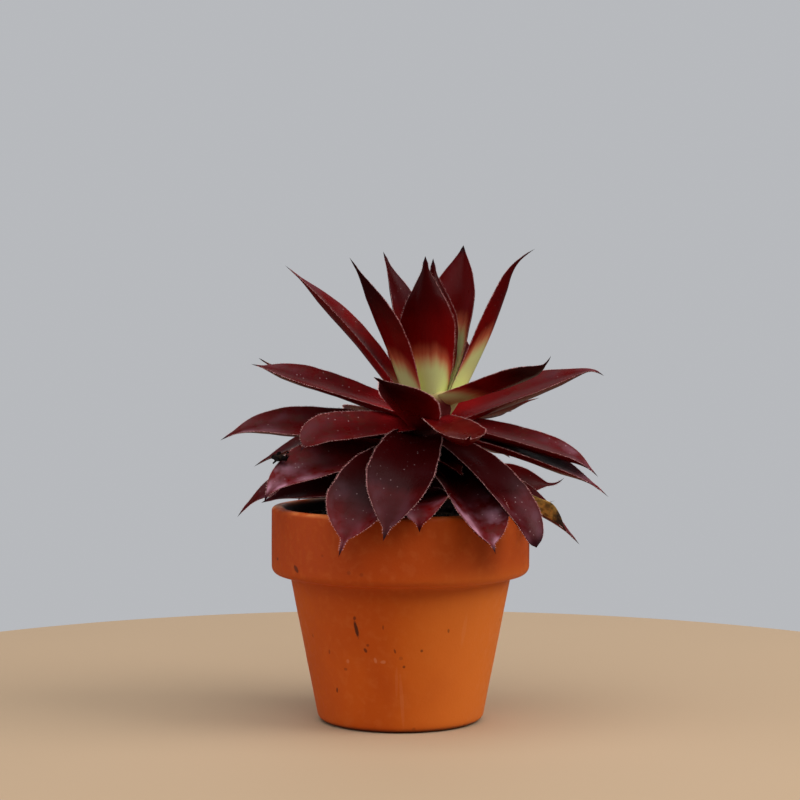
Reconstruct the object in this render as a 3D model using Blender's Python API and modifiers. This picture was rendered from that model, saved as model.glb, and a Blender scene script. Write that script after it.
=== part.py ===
# Potted houseleek: a plain fired-clay pot, its soil, one rosette of pointed
# leaves on a short stem, a withered leaf that hangs over the rim, and a dry
# scrap of a dead leaf.
# Metres, +Z up. The pot stands on z = 0.

import math
import random

import bmesh
import bpy
from mathutils import Matrix, Vector, noise
from mathutils.bvhtree import BVHTree

MM = 0.001
GAP = 0.3 * MM

# The leaves reach further to one side than to the other, so the pot's axis
# lies beside the middle of the whole plant, which is the part's origin.
POT_AXIS = Vector((-4.0, -0.8, 0.0)) * MM

# Pot: a heavy plain rim over a tapering wall
RIM_DIAMETER = 80.0 * MM
RIM_INNER_DIAMETER = 72.0 * MM
POT_HEIGHT = 66.3 * MM
RIM_UNDERSIDE = 45.4 * MM
WALL_BASE_RADIUS = 25.5 * MM
WALL_TAPER = 0.196
INNER_BASE_RADIUS = 21.9 * MM
INNER_TAPER = 0.205
FLOOR_THICKNESS = 4.5 * MM
DRAIN_RADIUS = 5.0 * MM
LIP_ROUNDING = 1.2 * MM
RIM_ROUNDING = 2.5 * MM
SHOULDER_ROUNDING = 1.2 * MM
BASE_ROUNDING = 2.0 * MM
FLOOR_ROUNDING = 1.5 * MM
ARC_STEPS = 3
POT_SIDES = 48

# Soil: filled to a few millimetres under the lip, higher round the stem
SOIL_LEVEL = 62.5 * MM
SOIL_MOUND = 2.6 * MM
SOIL_RELIEF = 0.9 * MM
SOIL_LUMP_SIZE = 7.0 * MM
SOIL_RINGS = 6
SOIL_BEVEL = 2.2 * MM

# Stem: upright in its hole, then leaning to the right as it rises
STEM_X = 3.0 * MM
STEM_Y = 1.0 * MM
STEM_BOTTOM = 48.0 * MM
STEM_BEND = 66.5 * MM
STEM_LEAN = Vector((0.2, -0.03))
STEM_TOP = 105.0 * MM
STEM_FOOT_RADIUS = 4.2 * MM
STEM_CROWN_RADIUS = 7.0 * MM
STEM_SWOLLEN_FROM = 89.0 * MM
STEM_END_BLUNTNESS = 2
STEM_SIDES = 12
STEM_RINGS = 12

# Leaves: sides round the blade, rings along it that crowd towards the tip
LEAF_SIDES = 8
LEAF_RINGS = 10
RING_CROWDING = 0.35
PATH_STEPS = 96
ROOT_DEPTH = 1.0 * MM

# A leaf's section is a lens, flatter above than below, on a cupped middle line
LEAF_THICKNESS = 2.6 * MM
TIP_THINNING = 0.4
MARGIN_FULLNESS = 1.6
UPPER_SHARE = 0.3
CUPPING = 0.35
CUP_LEVEL = 0.3
BASE_WIDTH = 0.5
SPIKE_WIDTH = 0.1

LEAF_DEFAULTS = {
    "offset": 2,
    "arch": 0,
    "hook": 0,
    "hook_from": 0.8,
    "sway": 0,
    "roll": 0,
    "widest": 0.5,
    "taper": 1.2,
    "cusp": 0.06,
}

# Each leaf runs from the stem at height "root" to its "tip", both in
# millimetres from the foot of the pot's axis: +X right, -Y to the front.
# Angles are degrees: arch bends it down along its length, hook lifts its end,
# sway swings it sideways and roll turns the blade about its own midrib.
CROWN_LEAVES = [
    dict(tip=(-36, 3, 141), root=96, offset=5, width=14, arch=18, roll=12, taper=1.0,
         cusp=0.08),
    dict(tip=(-15.5, -14, 143), root=96, offset=5, width=18, arch=20, roll=12),
    dict(tip=(-5.5, 12, 145.5), root=97, width=16, arch=-6, hook=10, sway=34, cusp=0.05),
    dict(tip=(7.5, -12, 143.5), root=97, width=17, arch=-12, cusp=0.05),
    dict(tip=(10, -4, 143), root=97, width=17, arch=-12),
    dict(tip=(19.8, 12, 147.5), root=96, width=25, arch=-10, hook=10, roll=10, widest=0.58,
         taper=0.85, cusp=0.03),
    dict(tip=(41.5, -2, 146), root=95, offset=5, width=13, arch=-10, hook=-40,
         hook_from=0.72, roll=8),
]

LEVEL_LEAVES = [
    dict(tip=(-46, -6, 110.5), root=94.5, offset=4, width=12.5, arch=6, roll=28,
         widest=0.62, taper=0.85, cusp=0.06),
    dict(tip=(-45, 14, 112), root=92.5, width=12, arch=2, hook=14, roll=-14, cusp=0.03),
    dict(tip=(-55.5, -6, 87), root=90.5, width=17, hook=-30, hook_from=0.7, roll=28,
         widest=0.58, taper=1.0),
    dict(tip=(-30, -24, 84.8), root=91.5, width=14.5, arch=11, hook=-40, hook_from=0.72,
         roll=30, widest=0.66, taper=0.5, cusp=0.05),
    dict(tip=(-8, -36, 107.5), root=90, width=17, arch=8, sway=-22, widest=0.45),
    dict(tip=(20.5, -40, 90.5), root=94, width=15.5, arch=12, hook=50, hook_from=0.82,
         widest=0.72, taper=0.5, cusp=0.08),
    dict(tip=(45, -24, 113.5), root=99, width=13.5, arch=-8, hook=40, hook_from=0.84,
         roll=6, widest=0.66, taper=0.8, cusp=0.08),
    dict(tip=(63.5, 4, 106.5), root=90.5, width=17, arch=8, hook=-50, hook_from=0.86,
         roll=-20, cusp=0.05),
    dict(tip=(44.5, 22, 99), root=91, width=11, roll=6),
    dict(tip=(60.5, -10, 76), root=93.5, width=15, arch=8, hook=-26, hook_from=0.72,
         roll=-14, widest=0.6, taper=0.9),
    dict(tip=(63.5, -12, 70), root=90, width=15, arch=25, hook=-10, roll=-14, cusp=0.08),
]

DROOPING_LEAVES = [
    dict(tip=(-46, 6, 78), root=86, width=16, arch=48, roll=18),
    dict(tip=(-51, 2, 62.5), root=75, width=15, arch=10, hook=-40, hook_from=0.6, roll=40,
         cusp=0.08),
    dict(tip=(-41, -22, 69.5), root=83, width=18, arch=40, hook=-30, roll=30, widest=0.56,
         taper=0.8, cusp=0.05),
    dict(tip=(-42, -20, 69), root=75.5, width=19, arch=20, roll=30),
    dict(tip=(-18, -46, 55.5), root=82, width=20, arch=76, sway=-7, roll=12, widest=0.68,
         taper=0.75, cusp=0.09),
    dict(tip=(-5, -49, 60.5), root=88.2, width=20, arch=72, sway=-10, roll=6, widest=0.62,
         taper=0.85, cusp=0.06),
    dict(tip=(5.5, -44, 62.5), root=71, width=18, arch=8, hook=-84, hook_from=0.74,
         widest=0.72, taper=0.75, cusp=0.05),
    dict(tip=(27.5, -46, 56.5), root=80, width=17, arch=51, widest=0.72, taper=0.66,
         cusp=0.06),
    dict(tip=(40, -36, 57.2), root=88, width=16, arch=54, hook=-24, sway=16, widest=0.6,
         taper=0.45, cusp=0.01),
    dict(tip=(52, 14, 74), root=73, width=11, arch=14, hook=50, hook_from=0.85, roll=-62,
         widest=0.6, taper=1.0, cusp=0.12),
    dict(tip=(48.5, 5, 67.5), root=79, width=13, arch=44, hook=60, hook_from=0.85,
         cusp=0.14),
    dict(tip=(55, -8, 55), root=79.5, width=15, arch=44, roll=-12),
    dict(tip=(18.5, -27, 77.5), root=86, width=11, arch=20),
]

# The young heart leaves turn round the stem by the golden angle, each shorter
# and steeper than the last, and even tiers fill the far side.
HEART_LEAVES = 4
HEART_ROOT = 98
HEART_HEADING = 20
HEART_RISE = 80
HEART_LENGTH = 34
HEART_SHRINK = 3
HEART_SHAPE = dict(width=11, arch=-10, offset=1)
GOLDEN_ANGLE = 137.5
BACK_SEED = 7
BACK_SHAPE = dict(widest=0.6, taper=0.9)
BACK_TIERS = [
    dict(count=2, first=74, step=36, root=95, rise=38, reach=44, width=14, arch=-4),
    dict(count=4, first=58, step=22, root=92, rise=2, reach=51, width=16, arch=12),
    dict(count=4, first=56, step=28, root=86, rise=-8, reach=52, width=17, arch=34),
    dict(count=4, first=70, step=24, root=79, rise=-16, reach=52, width=18, arch=62),
]
BACK_JITTER = 4

# Withered leaf: a thin crumpled blade that lies from the soil over the rim,
# its twist in degrees turning the hanging end to the front
WITHERED_ROOT = Vector((23.5, -14.5, 63.7)) * MM
WITHERED_TIP = Vector((50.0, -21.0, 60.0)) * MM
WITHERED_WIDTH = 10.0 * MM
WITHERED_TWIST = 62
WITHERED_THICKNESS = 1.0 * MM
WITHERED_ARCH = 112
WITHERED_CRUMPLE = 0.3 * MM
WITHERED_WRINKLES = 3
WITHERED_SHAPE = dict(widest=0.55, taper=0.8, cusp=0.08)

# Dry scrap: a curled dark flake, let down onto a lower left leaf from SCRAP_PLACE
SCRAP_PLACE = Vector((-36.4, -16.2, 87.0)) * MM
SCRAP_SIZE = Vector((3.4, 2.2, 1.6)) * MM
SCRAP_TILT_AXIS = Vector((1.0, 0.45, 0.15))
SCRAP_TILT = 40
SCRAP_RIPPLE = 2.3
SCRAP_CRUMPLE = 0.6


def material(name, colour, roughness):
    finish = bpy.data.materials.new(name)
    finish.use_nodes = True
    shader = finish.node_tree.nodes["Principled BSDF"]
    shader.inputs["Base Color"].default_value = (*colour, 1.0)
    shader.inputs["Roughness"].default_value = roughness
    shader.inputs["Metallic"].default_value = 0.0
    finish.diffuse_color = (*colour, 1.0)
    return finish


def link_object(name, mesh, collection):
    obj = bpy.data.objects.new(name, mesh)
    collection.objects.link(obj)
    return obj


def rounded_outline(corners):
    """Replace each corner (radius, height, rounding) with an arc of a few points."""
    points = []
    count = len(corners)
    for i, (r, z, rounding) in enumerate(corners):
        corner = Vector((r, z))
        if rounding == 0:
            points.append(corner)
            continue
        before = (Vector(corners[i - 1][:2]) - corner).normalized()
        after = (Vector(corners[(i + 1) % count][:2]) - corner).normalized()
        half = before.angle(after) / 2
        centre = corner + (before + after).normalized() * rounding / math.sin(half)
        start = (corner + before * rounding / math.tan(half) - centre).normalized()
        end = (corner + after * rounding / math.tan(half) - centre).normalized()
        for k in range(ARC_STEPS + 1):
            points.append(centre + start.slerp(end, k / ARC_STEPS) * rounding)
    return points


def wall_radius(z):
    return WALL_BASE_RADIUS + WALL_TAPER * z


def inner_radius(z):
    return INNER_BASE_RADIUS + INNER_TAPER * z


def make_pot(collection):
    rim = RIM_DIAMETER / 2
    inner_lip = RIM_INNER_DIAMETER / 2
    inside_shoulder = POT_HEIGHT - LIP_ROUNDING * 2
    corners = [
        (inner_lip, POT_HEIGHT, LIP_ROUNDING),
        (rim, POT_HEIGHT, LIP_ROUNDING),
        (rim, RIM_UNDERSIDE, RIM_ROUNDING),
        (wall_radius(RIM_UNDERSIDE), RIM_UNDERSIDE, SHOULDER_ROUNDING),
        (wall_radius(0), 0, BASE_ROUNDING),
        (DRAIN_RADIUS, 0, 0),
        (DRAIN_RADIUS, FLOOR_THICKNESS, 0),
        (inner_radius(FLOOR_THICKNESS), FLOOR_THICKNESS, FLOOR_ROUNDING),
        (inner_radius(inside_shoulder), inside_shoulder, 0),
    ]
    outline = rounded_outline(corners)
    bm = bmesh.new()
    verts = [bm.verts.new((p.x, 0, p.y)) for p in outline]
    for a, b in zip(verts, verts[1:] + verts[:1]):
        bm.edges.new((a, b))
    mesh = bpy.data.meshes.new("pot")
    bm.to_mesh(mesh)
    bm.free()
    pot = link_object("pot", mesh, collection)
    turn = pot.modifiers.new("Turn", "SCREW")
    turn.steps = POT_SIDES
    turn.render_steps = POT_SIDES
    turn.use_merge_vertices = True
    turn.merge_threshold = 0.01 * MM
    turn.use_smooth_shade = True
    return pot


def soil_relief(x, y):
    mound = 1 - min(1, math.hypot(x, y) / inner_radius(SOIL_LEVEL)) ** 2
    lumps = noise.noise(Vector((x, y, 0)) / SOIL_LUMP_SIZE)
    return SOIL_MOUND * mound + SOIL_RELIEF * lumps


def make_soil(collection):
    bottom = FLOOR_THICKNESS + GAP
    low_radius = inner_radius(bottom) - GAP
    top_radius = inner_radius(SOIL_LEVEL) - GAP
    bm = bmesh.new()
    bmesh.ops.create_cone(
        bm, cap_ends=True, segments=POT_SIDES, radius1=low_radius, radius2=top_radius,
        depth=SOIL_LEVEL - bottom,
        matrix=Matrix.Translation((0, 0, (SOIL_LEVEL + bottom) / 2)))
    under = min(bm.faces, key=lambda face: face.calc_center_median().z)
    bmesh.ops.bevel(bm, geom=list(under.edges), offset=SOIL_BEVEL, affect="EDGES")
    top = max(bm.faces, key=lambda face: face.calc_center_median().z)
    for _ in range(SOIL_RINGS):
        bmesh.ops.inset_region(bm, faces=[top], thickness=top_radius / (SOIL_RINGS + 1))
    bmesh.ops.poke(bm, faces=[top])
    for vert in bm.verts:
        if vert.co.z > SOIL_LEVEL - GAP:
            vert.co.z += soil_relief(vert.co.x, vert.co.y)
    bmesh.ops.triangulate(bm, faces=bm.faces)
    mesh = bpy.data.meshes.new("soil")
    bm.to_mesh(mesh)
    bm.free()
    return link_object("soil", mesh, collection)


def bore_stem_hole(soil, cutters):
    """Cut the plain round hole that the stem stands in."""
    floor = STEM_BOTTOM - GAP
    height = POT_HEIGHT - floor
    bm = bmesh.new()
    bmesh.ops.create_cone(
        bm, cap_ends=True, segments=STEM_SIDES, radius1=STEM_FOOT_RADIUS + 2 * GAP,
        radius2=STEM_FOOT_RADIUS + 2 * GAP, depth=height,
        matrix=Matrix.Translation((STEM_X, STEM_Y, floor + height / 2)))
    mesh = bpy.data.meshes.new("stem_hole_cutter")
    bm.to_mesh(mesh)
    bm.free()
    cutter = link_object("stem_hole_cutter", mesh, cutters)
    cutter.display_type = "WIRE"
    cutter.hide_render = True
    bore = soil.modifiers.new("StemHole", "BOOLEAN")
    bore.operation = "DIFFERENCE"
    bore.object = cutter
    return cutter


def stem_centre(z):
    """The middle of the stem at height z: upright in the soil, leaning above it."""
    rise = max(0.0, z - STEM_BEND)
    return Vector((STEM_X + STEM_LEAN.x * rise, STEM_Y + STEM_LEAN.y * rise, z))


def ease(low, high, value):
    share = min(1.0, max(0.0, (value - low) / (high - low)))
    return share * share * (3 - 2 * share)


def make_stem(collection):
    """A ball drawn out into a column that swells under the crown."""
    bm = bmesh.new()
    bmesh.ops.create_uvsphere(bm, u_segments=STEM_SIDES, v_segments=STEM_RINGS, radius=1)
    for vert in bm.verts:
        latitude = math.acos(max(-1, min(1, vert.co.z)))
        share = 1 - latitude / math.pi
        z = STEM_BOTTOM + (STEM_TOP - STEM_BOTTOM) * share
        swell = ease(STEM_BEND, STEM_SWOLLEN_FROM, z)
        radius = STEM_FOOT_RADIUS + (STEM_CROWN_RADIUS - STEM_FOOT_RADIUS) * swell
        around = Vector((vert.co.x, vert.co.y, 0))
        if around.length > 0:
            closing = min(1.0, around.length * STEM_END_BLUNTNESS)
            around = around.normalized() * radius * closing
        vert.co = stem_centre(z) + around
    mesh = bpy.data.meshes.new("rosette")
    bm.to_mesh(mesh)
    bm.free()
    return link_object("rosette", mesh, collection)


def half_width(leaf, share):
    """Half the blade's width at a share of its length, as a share of the widest."""
    widest = leaf["widest"]
    body = 1 - leaf["cusp"]
    if share < widest:
        return BASE_WIDTH + (1 - BASE_WIDTH) * math.sin(math.pi / 2 * share / widest)
    spike = SPIKE_WIDTH * min(1.0, (1 - share) / leaf["cusp"])
    if share >= body:
        return spike
    blade = math.cos(math.pi / 2 * (share - widest) / (body - widest)) ** leaf["taper"]
    return math.hypot(blade, spike)


def midrib(root, tip, arch, hook, hook_from, sway):
    """Points along a bent path, turned and scaled to run from root to tip."""
    path = [Vector((0, 0, 0))]
    for k in range(PATH_STEPS):
        share = (k + 0.5) / PATH_STEPS
        pitch = math.radians(-arch * share + hook * ease(hook_from, 1, share))
        yaw = math.radians(sway * share)
        step = Vector((math.cos(pitch) * math.cos(yaw), math.sin(yaw),
                       math.sin(pitch) * math.cos(yaw)))
        path.append(path[-1] + step)
    end = path[-1]
    level = Matrix.Rotation(-math.atan2(end.y, end.x), 3, "Z")
    lower = Matrix.Rotation(math.atan2(end.z, math.hypot(end.x, end.y)), 3, "Y")
    chord = tip - root
    along = chord.normalized()
    side = Vector((-along.y, along.x, 0)).normalized()
    frame = Matrix((along, side, along.cross(side))).transposed()
    fit = frame @ lower @ level * (chord.length / end.length)
    return [root + fit @ point for point in path], side


def blade(name, leaf, collection):
    """A ball drawn out along the midrib into a cupped, pointed leaf."""
    leaf = {**LEAF_DEFAULTS, **leaf}
    tip = Vector(leaf["tip"]) * MM
    axis = stem_centre(leaf["root"] * MM)
    outward = Vector((tip.x - axis.x, tip.y - axis.y, 0)).normalized()
    root = axis + outward * leaf["offset"] * MM
    path, side = midrib(root, tip, leaf["arch"], leaf["hook"], leaf["hook_from"],
                        leaf["sway"])
    half = leaf["width"] * MM / 2
    bm = bmesh.new()
    bmesh.ops.create_uvsphere(bm, u_segments=LEAF_SIDES, v_segments=LEAF_RINGS, radius=1)
    for vert in bm.verts:
        latitude = math.acos(max(-1, min(1, vert.co.z))) / math.pi
        ring = (latitude * LEAF_RINGS - 1) / (LEAF_RINGS - 1)
        share = max(0.0, ring + RING_CROWDING * ring * (1 - ring))
        around = math.atan2(vert.co.y, vert.co.x)
        index = min(PATH_STEPS, round(share * PATH_STEPS))
        here = path[index]
        ahead = path[min(PATH_STEPS, index + 1)] - path[max(0, index - 1)]
        ahead.normalize()
        across = (side - ahead * side.dot(ahead)).normalized()
        turn = Matrix.Rotation(-math.radians(leaf["roll"]), 3, ahead)
        across = turn @ across
        up = ahead.cross(across)
        if ring < 0:
            vert.co = here - ahead * ROOT_DEPTH
            continue
        if index == PATH_STEPS:
            vert.co = here
            continue
        spread = half_width(leaf, share)
        width = half * spread
        depth = LEAF_THICKNESS * (1 - TIP_THINNING * share)
        depth *= min(1, spread * MARGIN_FULLNESS)
        x = math.cos(around)
        rise = math.sin(around)
        lens = depth * (UPPER_SHARE if rise > 0 else 1 - UPPER_SHARE) * rise
        cup = CUPPING * width * (x * x - CUP_LEVEL)
        vert.co = here + across * x * width + up * (lens + cup)
    bmesh.ops.triangulate(bm, faces=bm.faces)
    bmesh.ops.recalc_face_normals(bm, faces=bm.faces)
    mesh = bpy.data.meshes.new(name)
    bm.to_mesh(mesh)
    bm.free()
    return link_object(name, mesh, collection)


def reach(root, heading, rise, length):
    """The tip of a leaf that leaves the stem at this heading and slope."""
    axis = stem_centre(root * MM) / MM
    flat = math.cos(math.radians(rise)) * length
    return (axis.x + math.cos(math.radians(heading)) * flat,
            axis.y + math.sin(math.radians(heading)) * flat,
            root + math.sin(math.radians(rise)) * length)


def hidden_leaves():
    """The young heart leaves and the tiers on the far side, by a seeded rule."""
    chance = random.Random(BACK_SEED)
    leaves = []
    for i in range(HEART_LEAVES):
        heading = HEART_HEADING + GOLDEN_ANGLE * i
        tip = reach(HEART_ROOT, heading, HEART_RISE + i, HEART_LENGTH - HEART_SHRINK * i)
        leaves.append(dict(HEART_SHAPE, tip=tip, root=HEART_ROOT))
    for tier in BACK_TIERS:
        for i in range(tier["count"]):
            heading = tier["first"] + tier["step"] * i + chance.uniform(-1, 1) * BACK_JITTER
            rise = tier["rise"] + chance.uniform(-1, 1) * BACK_JITTER / 2
            length = tier["reach"] + chance.uniform(-1, 1) * BACK_JITTER / 2
            tip = reach(tier["root"], heading, rise, length)
            leaves.append(dict(BACK_SHAPE, tip=tip, root=tier["root"],
                               width=tier["width"], arch=tier["arch"]))
    return leaves


def shells(bm):
    """The groups of faces that hang together, each with its signed volume."""
    waiting = set(bm.faces)
    while waiting:
        stack = [waiting.pop()]
        group = []
        while stack:
            face = stack.pop()
            group.append(face)
            for edge in face.edges:
                for other in edge.link_faces:
                    if other in waiting:
                        waiting.remove(other)
                        stack.append(other)
        volume = 0.0
        for face in group:
            first = face.verts[0].co
            for a, b in zip(face.verts[1:], face.verts[2:]):
                volume += first.dot(a.co.cross(b.co)) / 6
        yield group, volume


def keep_grown_body(mesh):
    """Fill the hollows that crossing leaves seal and drop loose scraps."""
    bm = bmesh.new()
    bm.from_mesh(mesh)
    groups = sorted(shells(bm), key=lambda pair: pair[1])
    for group, _ in groups[:-1]:
        bmesh.ops.delete(bm, geom=group, context="FACES")
    loose = [vert for vert in bm.verts if not vert.link_faces]
    bmesh.ops.delete(bm, geom=loose, context="VERTS")
    bmesh.ops.triangulate(bm, faces=bm.faces)
    bm.to_mesh(mesh)
    bm.free()


def make_rosette(collection):
    """Stem and leaves, grown together as one body."""
    rosette = make_stem(collection)
    growing = bpy.data.collections.new("leaves")
    bpy.context.scene.collection.children.link(growing)
    leaves = CROWN_LEAVES + LEVEL_LEAVES + DROOPING_LEAVES + hidden_leaves()
    for i, leaf in enumerate(leaves):
        blade(f"leaf_{i + 1:02d}", leaf, growing)
    union = rosette.modifiers.new("Leaves", "BOOLEAN")
    union.operation = "UNION"
    union.operand_type = "COLLECTION"
    union.collection = growing
    union.solver = "MANIFOLD"
    bpy.context.view_layer.update()
    graph = bpy.context.evaluated_depsgraph_get()
    mesh = bpy.data.meshes.new_from_object(rosette.evaluated_get(graph))
    keep_grown_body(mesh)
    rosette.modifiers.clear()
    rosette.data = mesh
    for obj in list(growing.objects):
        bpy.data.objects.remove(obj)
    bpy.data.collections.remove(growing)
    return rosette


def make_withered_leaf(collection):
    """A shrunken blade, bent over the rim and crumpled along its length."""
    leaf = {**LEAF_DEFAULTS, **WITHERED_SHAPE}
    path, side = midrib(WITHERED_ROOT, WITHERED_TIP, WITHERED_ARCH, leaf["hook"],
                        leaf["hook_from"], leaf["sway"])
    bm = bmesh.new()
    bmesh.ops.create_uvsphere(bm, u_segments=LEAF_SIDES, v_segments=LEAF_RINGS, radius=1)
    for vert in bm.verts:
        share = math.acos(max(-1, min(1, vert.co.z))) / math.pi
        around = math.atan2(vert.co.y, vert.co.x)
        index = round(share * PATH_STEPS)
        ahead = path[min(PATH_STEPS, index + 1)] - path[max(0, index - 1)]
        turn = Matrix.Rotation(-math.radians(WITHERED_TWIST) * share, 3, ahead)
        across = turn @ side
        up = ahead.cross(across).normalized()
        pole = index in (0, PATH_STEPS)
        spread = 0 if pole else half_width(leaf, share)
        wave = math.sin(share * WITHERED_WRINKLES * 2 * math.pi)
        wrinkle = WITHERED_CRUMPLE * wave * spread
        lens = 0 if pole else math.sin(around) * WITHERED_THICKNESS / 2
        vert.co = (path[index] + across * math.cos(around) * spread * WITHERED_WIDTH / 2
                   + up * (lens + wrinkle))
    bmesh.ops.triangulate(bm, faces=bm.faces)
    bmesh.ops.recalc_face_normals(bm, faces=bm.faces)
    mesh = bpy.data.meshes.new("withered_leaf")
    bm.to_mesh(mesh)
    bm.free()
    return link_object("withered_leaf", mesh, collection)


def make_scrap(rosette, collection):
    """A crumpled flake of a dead leaf, lying where it fell on a lower leaf."""
    bm = bmesh.new()
    bmesh.ops.create_icosphere(bm, subdivisions=2, radius=1)
    for vert in bm.verts:
        ripple = noise.noise(vert.co * SCRAP_RIPPLE)
        vert.co = Vector((vert.co.x * SCRAP_SIZE.x, vert.co.y * SCRAP_SIZE.y,
                          vert.co.z * SCRAP_SIZE.z)) * (1 + SCRAP_CRUMPLE * ripple)
    lie = Matrix.Rotation(math.radians(SCRAP_TILT), 3, SCRAP_TILT_AXIS)
    bmesh.ops.transform(bm, matrix=lie.to_4x4(), verts=bm.verts)
    bmesh.ops.translate(bm, vec=SCRAP_PLACE, verts=bm.verts)
    ground = BVHTree.FromPolygons([vert.co for vert in rosette.data.vertices],
                                  [face.vertices for face in rosette.data.polygons])
    drops = [ground.ray_cast(vert.co, Vector((0, 0, -1)))[3] for vert in bm.verts]
    fall = min(drop for drop in drops if drop is not None) - GAP / math.cos(
        math.radians(SCRAP_TILT))
    bmesh.ops.translate(bm, vec=(0, 0, -fall), verts=bm.verts)
    mesh = bpy.data.meshes.new("dry_scrap")
    bm.to_mesh(mesh)
    bm.free()
    return link_object("dry_scrap", mesh, collection)


def main():
    for obj in list(bpy.data.objects):
        bpy.data.objects.remove(obj)
    scene = bpy.context.scene
    plant = bpy.data.collections.new("potted_houseleek")
    cutters = bpy.data.collections.new("cutters")
    scene.collection.children.link(plant)
    scene.collection.children.link(cutters)

    frame = link_object("pot_axis", None, plant)
    clay = material("fired clay", (0.50, 0.17, 0.06), 0.75)
    earth = material("potting soil", (0.02, 0.014, 0.010), 0.95)
    flesh = material("houseleek leaf", (0.16, 0.012, 0.016), 0.45)
    dry = material("withered leaf", (0.30, 0.17, 0.04), 0.85)
    dead = material("dead scrap", (0.02, 0.012, 0.008), 0.95)

    pot = make_pot(plant)
    soil = make_soil(plant)
    cutter = bore_stem_hole(soil, cutters)
    rosette = make_rosette(plant)
    withered = make_withered_leaf(plant)
    scrap = make_scrap(rosette, plant)
    finishes = ((pot, clay), (soil, earth), (rosette, flesh), (withered, dry), (scrap, dead))
    for obj, finish in finishes:
        obj.data.materials.clear()
        obj.data.materials.append(finish)
    for obj in (pot, soil, cutter, rosette, withered, scrap):
        obj.parent = frame
    for obj in (rosette, withered):
        obj.data.shade_smooth()
    frame.location = POT_AXIS


main()
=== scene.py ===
import math
import random

import bpy
import numpy as np
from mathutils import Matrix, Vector, noise


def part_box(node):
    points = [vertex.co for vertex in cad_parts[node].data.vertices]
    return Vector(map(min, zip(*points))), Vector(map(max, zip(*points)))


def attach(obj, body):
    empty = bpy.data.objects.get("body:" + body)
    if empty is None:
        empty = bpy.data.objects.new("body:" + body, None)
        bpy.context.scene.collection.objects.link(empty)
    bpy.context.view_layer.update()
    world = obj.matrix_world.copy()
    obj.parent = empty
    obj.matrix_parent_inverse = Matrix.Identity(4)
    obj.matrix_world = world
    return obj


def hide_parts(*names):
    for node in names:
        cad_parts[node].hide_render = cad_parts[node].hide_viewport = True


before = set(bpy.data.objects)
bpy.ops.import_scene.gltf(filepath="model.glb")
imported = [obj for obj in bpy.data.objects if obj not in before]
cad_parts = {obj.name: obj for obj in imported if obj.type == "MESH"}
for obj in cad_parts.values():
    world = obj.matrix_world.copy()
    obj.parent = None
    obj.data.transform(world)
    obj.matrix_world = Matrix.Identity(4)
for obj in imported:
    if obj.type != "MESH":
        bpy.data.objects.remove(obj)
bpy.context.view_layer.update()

mm = 0.001
potLow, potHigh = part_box("pot")
potAxis = Vector(((potLow.x + potHigh.x) / 2, (potLow.y + potHigh.y) / 2, 0))


# Hand tools used by every piece below
def inMm(lengths):
    return tuple(length * mm for length in lengths)


def dropSelection():
    if bpy.context.mode != "OBJECT":
        bpy.ops.object.mode_set(mode="OBJECT")
    bpy.ops.object.select_all(action="DESELECT")


def takeUp(piece):
    dropSelection()
    piece.select_set(True)
    bpy.context.view_layer.objects.active = piece


def openUp():
    # edit mode with everything chosen
    bpy.ops.object.mode_set(mode="EDIT")
    bpy.ops.mesh.select_all(action="SELECT")


def putDown():
    bpy.ops.object.mode_set(mode="OBJECT")


def growRing(move, scale, centre):
    # the chosen ring is drawn out by move and scaled round centre (mm)
    bpy.ops.mesh.extrude_region_move(TRANSFORM_OT_translate={"value": inMm(move)})
    bpy.ops.transform.resize(value=(scale, scale, 1), center_override=inMm(centre))


def smoothOver(piece):
    takeUp(piece)
    bpy.ops.object.shade_smooth()


def startPiece(name):
    piece = bpy.context.object
    piece.name = name
    piece.data.name = name
    return piece


def settle(piece):
    # the object goes back to the origin and its place goes into its mesh
    takeUp(piece)
    bpy.ops.object.transform_apply(location=True, rotation=True, scale=True)
    return piece


def closeUp(piece):
    # merge doubles and turn every face outwards
    takeUp(piece)
    openUp()
    bpy.ops.mesh.remove_doubles(threshold=0.00001)
    bpy.ops.mesh.normals_make_consistent(inside=False)
    putDown()


def copyOf(blank, name):
    piece = blank.copy()
    piece.data = blank.data.copy()
    piece.name = name
    bpy.context.scene.collection.objects.link(piece)
    return piece


def joinAll(pieces, name):
    dropSelection()
    for piece in pieces:
        piece.select_set(True)
    bpy.context.view_layer.objects.active = pieces[0]
    bpy.ops.object.join()
    return startPiece(name)


def spread(piece, texture, strength, group=""):
    # push the surface in and out by a cloudy texture, then apply it
    takeUp(piece)
    push = piece.modifiers.new("Unevenness", "DISPLACE")
    push.texture = texture
    push.texture_coords = "LOCAL"
    push.strength = strength
    push.mid_level = 0.5
    push.vertex_group = group
    bpy.ops.object.modifier_apply(modifier=push.name)


def clouds(name, size):
    texture = bpy.data.textures.new(name, "CLOUDS")
    texture.noise_scale = size
    texture.noise_depth = 2
    return texture


def coordinates(piece):
    flat = np.zeros(len(piece.data.vertices) * 3)
    piece.data.vertices.foreach_get("co", flat)
    return flat.reshape(-1, 3)


def setCoordinates(piece, places):
    piece.data.vertices.foreach_set("co", np.ascontiguousarray(places).ravel())
    piece.data.update()


# Node helpers
def newFinish(name, colour, roughness=0.5, gloss=0.5):
    finish = bpy.data.materials.new(name)
    finish.use_nodes = True
    finish.diffuse_color = (*colour, 1)
    tree = finish.node_tree
    shader = tree.nodes["Principled BSDF"]
    shader.inputs["Roughness"].default_value = roughness
    shader.inputs["Specular IOR Level"].default_value = gloss
    return finish, tree, shader


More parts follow.
